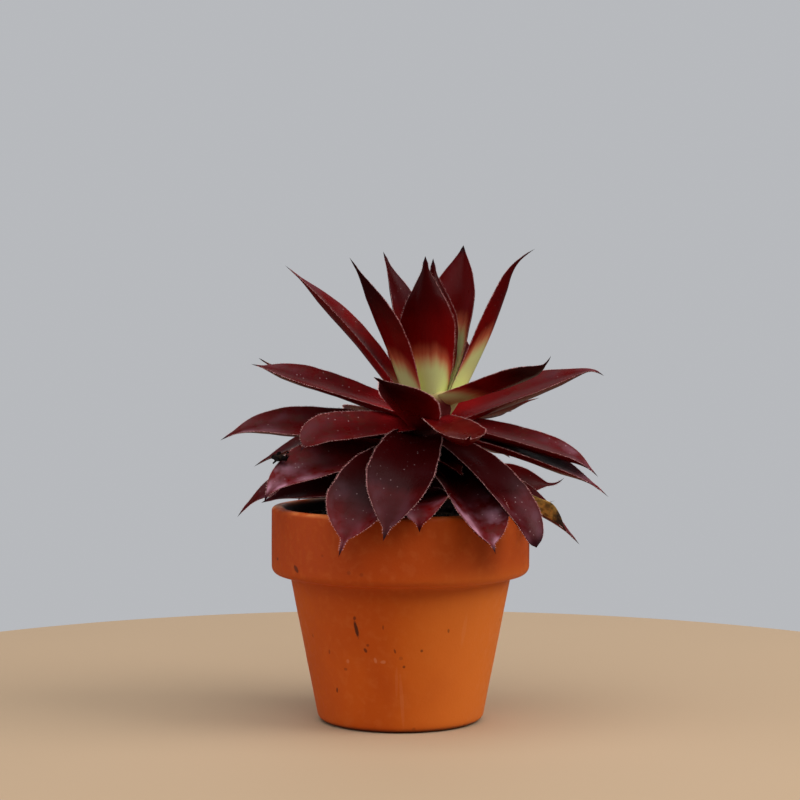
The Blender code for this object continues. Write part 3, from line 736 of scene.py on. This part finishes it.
def midrib(root, tip, arch, hook, hookFrom, sway):
    # a bent path, turned and scaled so that it runs from root to tip
    steps = blade["pathSteps"]
    share = (np.arange(steps) + 0.5) / steps
    pitch = np.radians(-arch * share + hook * ease(hookFrom, 1, share))
    yaw = np.radians(sway * share)
    step = np.stack([np.cos(pitch) * np.cos(yaw), np.sin(yaw), np.sin(pitch) * np.cos(yaw)], 1)
    path = np.vstack([np.zeros(3), np.cumsum(step, 0)])
    end = path[-1]
    turn, drop = -math.atan2(end[1], end[0]), math.atan2(end[2], math.hypot(end[0], end[1]))
    level = np.array([[math.cos(turn), -math.sin(turn), 0], [math.sin(turn), math.cos(turn), 0], [0, 0, 1]])
    lower = np.array([[math.cos(drop), 0, math.sin(drop)], [0, 1, 0], [-math.sin(drop), 0, math.cos(drop)]])
    chord = tip - root
    along = unit(chord)
    side = unit(np.array([-along[1], along[0], 0.0]))
    axes = np.stack([along, side, np.cross(along, side)], 1)
    fit = axes @ lower @ level * (np.linalg.norm(chord) / np.linalg.norm(end))
    return root + path @ fit.T, side


def halfWidth(leaf, share):
    widest, cusp = leaf["widest"], leaf["cusp"]
    body = 1 - cusp
    base = blade["baseWidth"]
    opening = base + (1 - base) * np.sin(np.pi / 2 * np.clip(share / widest, 0, 1))
    spike = blade["spikeWidth"] * np.clip((1 - share) / cusp, 0, 1)
    fall = np.clip((share - widest) / (body - widest), 0, 1)
    closing = np.maximum(np.cos(np.pi / 2 * fall), 0) ** leaf["taper"]
    return np.where(share < widest, opening, np.hypot(closing, spike))


def leafBasis(leaf):
    tip = np.array(leaf["tip"], float)
    axis = stemCentre(leaf["root"])
    outward = unit(np.array([tip[0] - axis.x, tip[1] - axis.y, 0.0]))
    root = np.array(axis) + outward * leaf["offset"]
    path, side = midrib(root, tip, leaf["arch"], leaf["hook"], leaf["hookFrom"], leaf["sway"])
    ahead = unit(np.gradient(path, axis=0))
    across = unit(side - ahead * (ahead @ side)[:, None])
    roll = -math.radians(leaf["roll"])
    across = across * math.cos(roll) + np.cross(ahead, across) * math.sin(roll)
    return path, ahead, across, np.cross(ahead, across)


def along(basis, share):
    # read the path and its three directions at these shares of the length
    spots = np.linspace(0, 1, len(basis[0]))
    read = [np.stack([np.interp(share, spots, values[:, k]) for k in range(3)], 1) for values in basis]
    return [read[0]] + [unit(values) for values in read[1:]]


def section(leaf, share, x, rise, seed):
    # width, then height over the midrib, at places round the blade's section
    opened = halfWidth(leaf, share)
    waver = 1 + blade["edgeWaver"] * np.sin(share * 31 + seed) * np.sin(share * 13 + seed * 2.3)
    width = leaf["width"] / 2 * opened * waver
    fullness = np.minimum(1, opened * blade["marginFullness"])
    depth = blade["thickness"] * (1 - blade["tipThinning"] * share) * fullness
    share01 = np.where(rise > 0, blade["upperShare"], 1 - blade["upperShare"])
    lens = depth * share01 * np.sign(rise) * np.abs(rise) ** blade["edgeSharpness"]
    cup = blade["cupping"] * width * (x * x - blade["cupLevel"]) + leaf["fold"] * width * (np.abs(x) - 0.5)
    swell = (blade["surfaceWaver"] * np.sin(share * 17 + seed) * np.cos(x * 2.6 + seed * 1.7)
             * (1 - np.abs(x)) * opened)
    return width * x, lens + cup + swell


def makeBlank():
    # a ball with its poles at root and tip, the start of every leaf
    dropSelection()
    bpy.ops.mesh.primitive_uv_sphere_add(segments=blade["sides"], ring_count=blade["rings"], radius=1)
    blank = startPiece("leafBlank")
    openUp()
    bpy.ops.transform.rotate(value=math.pi / 2, orient_axis="Y", center_override=(0, 0, 0))
    putDown()
    return blank


def onBall(blank):
    # how far each point is from the root pole to the tip pole, and where round the section
    ball = coordinates(blank)
    turn = np.arctan2(ball[:, 2], ball[:, 1])
    return np.arccos(np.clip(-ball[:, 0], -1, 1)) / np.pi, np.cos(turn), np.sin(turn)


def mark(piece, label, values):
    layer = piece.data.attributes.new(label, "FLOAT_VECTOR", "POINT")
    layer.data.foreach_set("vector", values.astype(np.float32).ravel())


def layLeaf(blank, leaf, name, seed):
    leaf = {**usualLeaf, **leaf}
    piece = copyOf(blank, name)
    latitude, x, rise = onBall(blank)
    ring = (latitude * blade["rings"] - 1) / (blade["rings"] - 1)
    share = np.clip(ring + blade["crowding"] * ring * (1 - ring), 0, 1)
    here, ahead, across, up = along(leafBasis(leaf), share)
    width, height = section(leaf, share, x, rise, seed)
    places = here + across * width[:, None] + up * height[:, None]
    rootPole = latitude < 0.25 / blade["rings"]
    tipPole = latitude > 1 - 0.25 / blade["rings"]
    places = np.where(rootPole[:, None], here - ahead * blade["rootDepth"], places)
    places = np.where(tipPole[:, None], here, places)
    setCoordinates(piece, places * mm + np.array(potAxis))
    mark(piece, "bladePlace", np.stack([share, x, rise], 1))
    mark(piece, "bladeTone", np.tile([leaf["tint"], leaf["green"], leaf["deep"]], (len(x), 1)))
    mark(piece, "bladeSkin", np.tile([leaf["bloomAndSheen"], seed % 7.3, leaf["canopyShade"]], (len(x), 1)))
    return piece


# Margin hairs (mm)
hairRule = {"spacing": 0.42, "length": (0.35, 0.85), "thickness": 0.13, "from": 0.14, "to": 0.965,
            "forward": (0.1, 0.9), "raised": (-0.2, 0.6), "shortening": 0.35, "sunk": 0.995, "seed": 11,
            "colour": (0.85, 0.55, 0.52), "darkColour": (0.60, 0.24, 0.23), "roughness": 0.5}


def makeHairBlank():
    dropSelection()
    bpy.ops.mesh.primitive_cone_add(vertices=3, radius1=1, radius2=0, depth=1, location=(0, 0, 0.5))
    blank = startPiece("hairBlank")
    openUp()
    bpy.ops.mesh.bisect(plane_co=(0, 0, 0.5), plane_no=(0, 0, 1))
    bpy.ops.transform.resize(value=(1.3, 1.3, 1), center_override=(0, 0, 0.5))
    putDown()
    return settle(blank)


def growHairs(blank, leaves, name, firstSeed):
    chance = random.Random(hairRule["seed"] + firstSeed)
    shape = coordinates(blank)
    faces = [tuple(face.vertices) for face in blank.data.polygons]
    points, polygons = [], []
    for i, leaf in enumerate(leaves):
        leaf = {**usualLeaf, **leaf}
        basis = leafBasis(leaf)
        length = np.linalg.norm(np.diff(basis[0], axis=0), axis=1).sum()
        first, reach = hairRule["from"], hairRule["to"] - hairRule["from"]
        count = int(length * reach / hairRule["spacing"])
        for margin in (-1.0, 1.0):
            share = np.array([first + reach * (k + chance.random()) / count for k in range(count)])
            here, ahead, across, up = along(basis, share)
            x = np.full(count, margin)
            width, height = section(leaf, share, x, np.zeros(count), firstSeed + i)
            roots = here + across * (width * hairRule["sunk"])[:, None] + up * height[:, None]
            for k in range(count):
                forward, raised = chance.uniform(*hairRule["forward"]), chance.uniform(*hairRule["raised"])
                lean = unit(across[k] * margin + ahead[k] * forward + up[k] * raised)
                sideways = unit(np.cross(lean, ahead[k] + 0.01))
                third = np.cross(lean, sideways)
                low, high = hairRule["length"]
                tall = (low + (high - low) * chance.random()) * (1 - hairRule["shortening"] * share[k])
                thick = hairRule["thickness"] / 2
                placed = (roots[k] + shape[:, :1] * thick * sideways + shape[:, 1:2] * thick * third
                          + shape[:, 2:] * tall * lean)
                start = len(points)
                points.extend((placed * mm + np.array(potAxis)).tolist())
                polygons.extend([tuple(start + v for v in face) for face in faces])
    mesh = bpy.data.meshes.new(name)
    mesh.from_pydata(points, [], polygons)
    mesh.update()
    piece = bpy.data.objects.new(name, mesh)
    bpy.context.scene.collection.objects.link(piece)
    return piece


leafSkin = {
    "green": (0.66, 0.70, 0.29), "ember": (0.58, 0.130, 0.060), "flame": (0.36, 0.010, 0.013),
    "red": (0.17, 0.0018, 0.0014), "brown": (0.105, 0.011, 0.013), "night": (0.024, 0.0005, 0.0008),
    "olive": (0.085, 0.026, 0.016), "mauve": (0.56, 0.27, 0.36), "margin": (0.74, 0.32, 0.32),
    "dust": (0.62, 0.42, 0.42), "tip": (0.020, 0.002, 0.004), "roughness": (0.24, 0.38), "gloss": 0.06,
}


def leafFinish(skin):
    finish, tree, shader = newFinish("houseleekLeaf", skin["red"], gloss=skin["gloss"])
    readIn = lambda label: node(tree, "ShaderNodeSeparateXYZ", Vector=node(
        tree, "ShaderNodeAttribute", {"attribute_name": label}).outputs["Vector"]).outputs
    place, tone, extra = readIn("bladePlace"), readIn("bladeTone"), readIn("bladeSkin")
    solid = ownPlace(tree)
    share, x, rise = place["X"], place["Y"], place["Z"]
    edge = maths(tree, "ABSOLUTE", x)
    # long streaks that run with the blade
    run = node(tree, "ShaderNodeCombineXYZ", X=times(tree, share, 2.4),
               Y=times(tree, x, 4.5), Z=extra["Y"]).outputs[0]
    streak = cloudy(tree, run, 1.0, 3.0)
    fine = node(tree, "ShaderNodeCombineXYZ", X=times(tree, share, 5.0),
                Y=times(tree, x, 26.0), Z=extra["Y"]).outputs[0]
    vein = cloudy(tree, fine, 1.0)
    cloud = cloudy(tree, solid, 140.0, 3.0)
    shift = plus(tree, share, times(tree, minus(tree, streak, 0.5), 0.08))
    upper = rampUp(tree, rise, -0.12, 0.12)
    # flame-red foot, red flesh turning brown outwards, then night-dark towards the end
    colour = blendColour(tree, rampUp(tree, shift, 0.16, 0.44), skin["flame"], skin["red"])
    blotchy = rampUp(tree, plus(tree, times(tree, vein, 0.4), times(tree, cloud, 0.6)),
                     0.34, 0.62)
    browning = times(tree, tone["X"], rampUp(tree, shift, 0.12, 0.5))
    browning = times(tree, browning, plus(tree, 0.45, times(tree, blotchy, 0.55)))
    browning = times(tree, browning, plus(tree, 0.35, times(tree, upper, 0.65)))
    colour = blendColour(tree, browning, colour, skin["brown"])
    mottle = cloudy(tree, solid, 380.0, 4.0, Roughness=0.65)
    mottle = times(tree, rampUp(tree, mottle, 0.46, 0.64), rampUp(tree, shift, 0.25, 0.5))
    mottle = times(tree, mottle, times(tree, tone["X"], upper))
    colour = layOver(tree, colour, skin["olive"], mottle, 0.55)
    darkening = times(tree, tone["Z"], rampUp(tree, shift, 0.36, 0.8))
    # painted shade: the inner half of leaves under the canopy goes towards black
    canopyShade = times(tree, extra["Z"], rampUp(tree, shift, 1.0, 0.5))
    colour = blendColour(tree, maths(tree, "MAXIMUM", darkening, canopyShade), colour, skin["night"])
    # painted shade in the crease along the midrib of the upper face; random dark patches join it
    creaseShade = times(tree, times(tree, rampUp(tree, edge, 0.75, 0.0), upper), 0.3)
    patchy = times(tree, rampUp(tree, cloud, 0.5, 0.72), 0.35)
    colour = blendColour(tree, maths(tree, "MAXIMUM", patchy, creaseShade), colour, skin["night"])
    # yellow-green base that turns through ember orange; red runs further down along the margins
    past = minus(tree, shift, tone["Y"])
    past = plus(tree, past, times(tree, maths(tree, "POWER", edge, 4.0), 0.2))
    colour = blendColour(tree, rampUp(tree, past, 0.15, 0.0), colour, skin["ember"])
    colour = blendColour(tree, rampUp(tree, past, 0.07, -0.06), colour, skin["green"])
    # grey-mauve waxy bloom with painted sheen on the outer half of the upper face, and a painted highlight
    # streak near the margins
    bloomAndSheen = times(tree, times(tree, extra["X"], upper), rampUp(tree, share, 0.5, 0.95))
    bloomAndSheen = times(tree, bloomAndSheen, rampUp(tree, cloud, 0.38, 0.68))
    marginHighlight = times(tree, rampUp(tree, edge, 0.15, 0.7), rampUp(tree, edge, 0.97, 0.8))
    bloomAndSheen = times(tree, bloomAndSheen, plus(tree, 0.3, times(tree, marginHighlight, 0.7)))
    colour = layOver(tree, colour, skin["mauve"], bloomAndSheen, 0.5)
    colour = blendColour(tree, rampUp(tree, share, 0.93, 0.985), colour, skin["tip"])
    rim = times(tree, rampUp(tree, edge, 0.968, 0.997), rampUp(tree, share, 0.99, 0.93))
    bead = cloudy(tree, solid, 1300.0, 1.0)
    rim = times(tree, rim, plus(tree, 0.12, times(tree, rampUp(tree, bead, 0.46, 0.6), 0.6)))
    colour = blendColour(tree, rim, colour, skin["margin"])
    dust = useGroup(tree, specks, "Mask", Vector=solid, Scale=1000.0, Amount=0.12, Size=0.26)
    dust = times(tree, dust, rampUp(tree, cloud, 0.4, 0.6))
    dust = times(tree, dust, times(tree, tone["X"], 0.6))
    colour = blendColour(tree, dust, colour, skin["dust"])
    paint(tree, shader, colour)
    varyRoughness(tree, shader, cloud, skin["roughness"])
    grain = useGroup(tree, relief, "Height", Vector=solid, Coarse=220.0, Fine=1500.0, Fine_Share=0.35)
    ridges = plus(tree, grain, times(tree, vein, 0.5))
    addBump(tree, shader, ridges, 0.18, 0.0004)
    return finish


def hairFinish(rule):
    finish, tree, shader = newFinish("marginHair", rule["colour"], rule["roughness"])
    solid = ownPlace(tree)
    vary = cloudy(tree, solid, 300.0)
    colour = blendColour(tree, vary, rule["darkColour"], rule["colour"])
    paint(tree, shader, colour)
    return finish


def makeStem(size):
    # a short pillar of rings that swells under the crown, leans over and ends in a dome
    dropSelection()
    bpy.ops.mesh.primitive_circle_add(vertices=size["sides"], radius=1 * mm, fill_type="NGON",
                                      location=(0, 0, size["bottom"] * mm))
    stem = settle(startPiece("stem"))
    openUp()
    radius, height, foot = 1.0, size["bottom"], size["bottom"] + size["firstStep"]
    for i in range(size["rings"] + 1):
        share = i / size["rings"]
        z = foot + (size["top"] - foot) * share
        swell = float(ease(size["bend"], size["swollenFrom"], z))
        target = size["footRadius"] + (size["crownRadius"] - size["footRadius"]) * swell
        dome = max(0.0, (share - size["domeFrom"]) / (1 - size["domeFrom"]))
        target *= math.sqrt(max(size["domeFlat"], 1 - dome ** 2))
        # the start circle stands on the pot's axis, so the first step also moves it to the stem's
        move = stemCentre(z) - stemCentre(height) if i else Vector((size["x"], size["y"], size["firstStep"]))
        growRing(move, target / radius, stemCentre(z))
        radius, height = target, z
    putDown()
    spread(stem, clouds("scars", 0.004), size["scars"] * mm)
    closeUp(stem)
    smoothOver(stem)
    stem.location = potAxis
    return settle(stem)


def stemFinish(size):
    # dark bark that turns to the flesh of the leaves' feet in the crown
    finish, tree, shader = newFinish("stemBark", size["paleBark"], size["roughness"])
    solid = ownPlace(tree)
    height = node(tree, "ShaderNodeSeparateXYZ", Vector=solid).outputs["Z"]
    band = node(tree, "ShaderNodeMapping", Vector=solid, Scale=(150, 150, 600)).outputs[0]
    scars = cloudy(tree, band, 1.0, 3.0)
    colour = blendColour(tree, rampUp(tree, scars, 0.35, 0.65), size["bark"], size["paleBark"])
    colour = blendColour(tree, rampUp(tree, height, *inMm(size["fleshFrom"])), colour, size["flesh"])
    colour = blendColour(tree, rampUp(tree, height, *inMm(size["crownFrom"])), colour, size["crown"])
    paint(tree, shader, colour)
    addBump(tree, shader, scars, 0.6, 0.0005)
    return finish


blank = makeBlank()
hairBlank = makeHairBlank()
heart, back = hiddenLeaves()
leafMaterial, hairMaterial = leafFinish(leafSkin), hairFinish(hairRule)
leafPieces, hairPieces = [], []
groups = (("crownLeaves", crownLeaves + heart), ("levelLeaves", levelLeaves),
          ("droopingLeaves", droopingLeaves), ("farLeaves", back))
seed = 0
for groupName, leaves in groups:
    laid = [layLeaf(blank, leaf, groupName, seed + i) for i, leaf in enumerate(leaves)]
    piece = joinAll(laid, groupName)
    smoothOver(piece)
    piece.data.materials.append(leafMaterial)
    leafPieces.append(piece)
    hairs = growHairs(hairBlank, leaves, groupName.replace("Leaves", "Hairs"), seed)
    hairs.data.materials.append(hairMaterial)
    hairPieces.append(hairs)
    seed += len(leaves)
    print(groupName, len(leaves), "leaves,", len(piece.data.polygons), "faces,",
          len(hairs.data.polygons), "hair faces")
stem = makeStem(stemShape)
stem.data.materials.append(stemFinish(stemShape))
bpy.data.objects.remove(hairBlank)


# Withered leaf over the rim, at the right
witheredLeaf = {
    "root": (23.5, -14.5, 63.7), "tip": (50.0, -21.0, 60.0), "width": 10.0, "twist": 62, "thickness": 1.0,
    "arch": 112, "crumple": 0.3, "wrinkles": 3, "widest": 0.55, "taper": 0.8, "cusp": 0.08,
    "raggedness": 0.55, "raggedEdge": 0.22, "edgeSharpness": 1.3, "curl": 0.5,
    "straw": (0.58, 0.34, 0.08), "olive": (0.19, 0.12, 0.03), "dead": (0.030, 0.011, 0.006),
    "roughness": 0.85,
}


def makeWithered(blank, size):
    piece = copyOf(blank, "witheredLeaf")
    share, x, rise = onBall(blank)
    path, side = midrib(np.array(size["root"]), np.array(size["tip"]), size["arch"],
                        hook=0, hookFrom=0.8, sway=0)
    ahead = unit(np.gradient(path, axis=0))
    twist = -np.radians(size["twist"]) * np.linspace(0, 1, len(path))[:, None]
    across = side * np.cos(twist) + np.cross(ahead, side) * np.sin(twist)
    here, ahead, across, up = along((path, ahead, across, unit(np.cross(ahead, across))), share)
    opened = halfWidth(size, share) * np.sin(np.pi * np.clip(share * 6, 0, 0.5))
    opened = opened * np.where(share > 0.999, 0, 1)
    ragged = np.array([noise.noise(Vector((s * 9, xx * 1.4, 3.7))) for s, xx in zip(share, x)])
    wave = np.sin(share * size["wrinkles"] * 2 * np.pi)
    wrinkle = size["crumple"] * wave * opened + ragged * size["raggedness"] * opened
    edge = 1 + size["raggedEdge"] * ragged
    pole = (share < 1e-4) | (share > 1 - 1e-4)
    fullness = np.clip(opened * 2, 0.2, 1)
    round01 = np.sign(rise) * np.abs(rise) ** size["edgeSharpness"]
    lens = np.where(pole, 0, round01 * size["thickness"] / 2 * fullness)
    curl = size["curl"] * x * x * opened
    width = x * opened * edge * size["width"] / 2
    places = here + across * width[:, None] + up * (lens + wrinkle + curl)[:, None]
    setCoordinates(piece, places * mm + np.array(potAxis))
    mark(piece, "bladePlace", np.stack([share, x, rise], 1))
    smoothOver(piece)
    return piece


def witheredFinish(size):
    finish, tree, shader = newFinish("witheredLeaf", size["straw"], size["roughness"])
    place = node(tree, "ShaderNodeAttribute", {"attribute_name": "bladePlace"}).outputs["Vector"]
    part = node(tree, "ShaderNodeSeparateXYZ", Vector=place).outputs
    solid = ownPlace(tree)
    cloud = cloudy(tree, solid, 420.0, 4.0)
    colour = blendColour(tree, rampUp(tree, cloud, 0.4, 0.62), size["olive"], size["straw"])
    blotch = cloudy(tree, solid, 260.0, 3.0)
    dead = plus(tree, part["X"], times(tree, minus(tree, blotch, 0.5), 0.5))
    colour = blendColour(tree, rampUp(tree, dead, 0.74, 0.9), colour, size["dead"])
    paint(tree, shader, colour)
    grain = useGroup(tree, relief, "Height", Vector=solid, Coarse=500.0, Fine=2600.0, Fine_Share=0.4)
    addBump(tree, shader, grain, 0.8, 0.0005)
    return finish


withered = makeWithered(blank, witheredLeaf)
withered.data.materials.append(witheredFinish(witheredLeaf))
bpy.data.objects.remove(blank)
print("withered leaf laid")


# Dry scrap: a crumpled dark flake with thin shards stuck to it at random angles;
# core, length, height, scatter and lift are shares of the scrap's half size
dryScrap = {
    "core": (0.7, 0.5, 0.5), "shards": 14, "shardThickness": 0.22, "shardLength": (0.25, 0.5),
    "shardHeight": (0.1, 0.3), "tumble": 1.2, "scatter": 0.6, "slope": 0.6, "lift": (-0.3, 0.4),
    "crumple": 1.2, "seed": 3, "colour": (0.005, 0.003, 0.003), "edgeColour": (0.024, 0.012, 0.007),
    "roughness": 0.9, "gloss": 0.1,
}


def makeScrap(size):
    low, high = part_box("dry_scrap")
    middle, span = (low + high) / 2, (high - low) / 2
    chance = random.Random(size["seed"])
    tumble, scatter = size["tumble"], size["scatter"]
    flakes = []
    for i in range(size["shards"]):
        dropSelection()
        bpy.ops.mesh.primitive_ico_sphere_add(subdivisions=3, radius=1)
        flake = startPiece("flake")
        openUp()
        if i == 0:
            bpy.ops.transform.resize(value=tuple(half * share for half, share in zip(span, size["core"])))
            offset = Vector((0, 0, 0))
        else:
            long = span.x * chance.uniform(*size["shardLength"])
            tall = span.z * chance.uniform(*size["shardHeight"])
            bpy.ops.transform.resize(value=(long, size["shardThickness"] * mm, tall))
            for axis in "YZX":
                bpy.ops.transform.rotate(value=chance.uniform(-tumble, tumble), orient_axis=axis,
                                         center_override=(0, 0, 0))
            aside, back = [chance.uniform(-scatter, scatter) * half for half in (span.x, span.y)]
            offset = Vector((aside, back, back * size["slope"] + chance.uniform(*size["lift"]) * span.z))
        putDown()
        flake.location = middle + offset
        settle(flake)
        spread(flake, clouds("crumple", 0.0012), size["crumple"] * mm)
        flakes.append(flake)
    scrap = joinAll(flakes, "dryScrap")
    places = np.clip(coordinates(scrap), np.array(low), np.array(high))
    setCoordinates(scrap, places)
    takeUp(scrap)
    bpy.ops.object.shade_smooth_by_angle(angle=math.radians(35))
    return scrap


def scrapFinish(size):
    finish, tree, shader = newFinish("deadScrap", size["colour"], size["roughness"], size["gloss"])
    solid = ownPlace(tree)
    cloud = cloudy(tree, solid, 900.0, 4.0)
    colour = blendColour(tree, rampUp(tree, cloud, 0.5, 0.72), size["colour"], size["edgeColour"])
    paint(tree, shader, colour)
    addBump(tree, shader, cloud, 0.9, 0.0005)
    return finish


scrap = makeScrap(dryScrap)
scrap.data.materials.append(scrapFinish(dryScrap))
print("scrap placed")


# Each piece hides the model part it stands for
for piece, replaced, slotName in (
        (pot, "pot", "fired_clay"), (soil, "soil", "potting_soil"),
        (leafPieces[0], "rosette", "houseleek_leaf"), (withered, "withered_leaf", "withered_leaf"),
        (scrap, "dry_scrap", "dead_scrap")):
    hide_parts(replaced)
for piece in [pot, soil, stem, withered, scrap] + leafPieces + hairPieces:
    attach(piece, "root")
print("pieces ride on the pot")


# Floor, light and camera
studio = {
    "floorRadius": 0.24, "floorDrop": 0.0002, "floorColour": (0.475, 0.33, 0.205),
    "air": (0.90, 0.95, 1.0), "airStrength": 0.10, "backdrop": (0.475, 0.487, 0.510),
    "floorRoughness": 0.85, "aim": (0, 0, 0.07),
    "lights": [
        # name, place, size, watts, colour
        ("skylight", (0.0, -0.50, 1.20), 1.6, 16.8, (0.98, 0.99, 1.0)),
        ("window", (1.00, -0.30, 0.85), 0.8, 10.5, (1.0, 0.98, 0.95)),
        ("sideFill", (-1.20, -0.20, 0.45), 1.0, 4.2, (0.96, 0.98, 1.0)),
        ("backGlow", (0.0, 1.10, 0.75), 1.2, 3.0, (0.95, 0.98, 1.0)),
    ],
    "cameraDistance": 0.665, "cameraHeight": 0.1271, "tiltDown": 2.403, "lens": 96.525,
    "sensor": 36, "shift": -0.00075,
}


def makeFloor(size):
    dropSelection()
    bpy.ops.mesh.primitive_circle_add(vertices=128, radius=size["floorRadius"], fill_type="NGON",
                                      location=(potAxis.x, potAxis.y, -size["floorDrop"]))
    floor = settle(startPiece("floor"))
    finish, tree, shader = newFinish("paleFloor", size["floorColour"], size["floorRoughness"])
    solid = ownPlace(tree)
    soft = cloudy(tree, solid, 6.0)
    dim, bright = [tuple(min(1, c * k) for c in size["floorColour"]) for k in (0.97, 1.03)]
    tree.links.new(blendColour(tree, soft, dim, bright), shader.inputs["Base Color"])
    floor.data.materials.append(finish)


def makeAir(size):
    # the camera sees a pale backdrop, while the pot is lit by dim air
    world = bpy.data.worlds.new("softRoom")
    bpy.context.scene.world = world
    world.use_nodes = True
    tree = world.node_tree
    air = tree.nodes["Background"]
    air.inputs["Color"].default_value = (*size["air"], 1)
    air.inputs["Strength"].default_value = size["airStrength"]
    seen = node(tree, "ShaderNodeBackground")
    seen.inputs["Color"].default_value = (*size["backdrop"], 1)
    mix = node(tree, "ShaderNodeMixShader")
    tree.links.new(node(tree, "ShaderNodeLightPath").outputs["Is Camera Ray"], mix.inputs[0])
    tree.links.new(air.outputs[0], mix.inputs[1])
    tree.links.new(seen.outputs[0], mix.inputs[2])
    tree.links.new(mix.outputs[0], tree.nodes["World Output"].inputs["Surface"])


def makeStudio(size):
    makeFloor(size)
    makeAir(size)
    target = Vector(size["aim"])
    for name, place, width, watts, colour in size["lights"]:
        lamp = bpy.data.lights.new(name, "AREA")
        lamp.shape = "SQUARE"
        lamp.size = width
        lamp.energy = watts
        lamp.color = colour
        holder = bpy.data.objects.new(name, lamp)
        bpy.context.scene.collection.objects.link(holder)
        holder.location = place
        holder.rotation_euler = (target - Vector(place)).to_track_quat("-Z", "Y").to_euler()
    eye = bpy.data.cameras.new("photoCamera")
    eye.lens = size["lens"]
    eye.sensor_width = size["sensor"]
    eye.shift_x = size["shift"]
    camera = bpy.data.objects.new("photoCamera", eye)
    bpy.context.scene.collection.objects.link(camera)
    camera.location = potAxis + Vector((0, -size["cameraDistance"], size["cameraHeight"]))
    camera.rotation_euler = (math.radians(90 - size["tiltDown"]), 0, 0)
    bpy.context.scene.camera = camera
    bpy.context.scene.view_settings.view_transform = "Standard"


makeStudio(studio)
dropSelection()
print("studio lit")
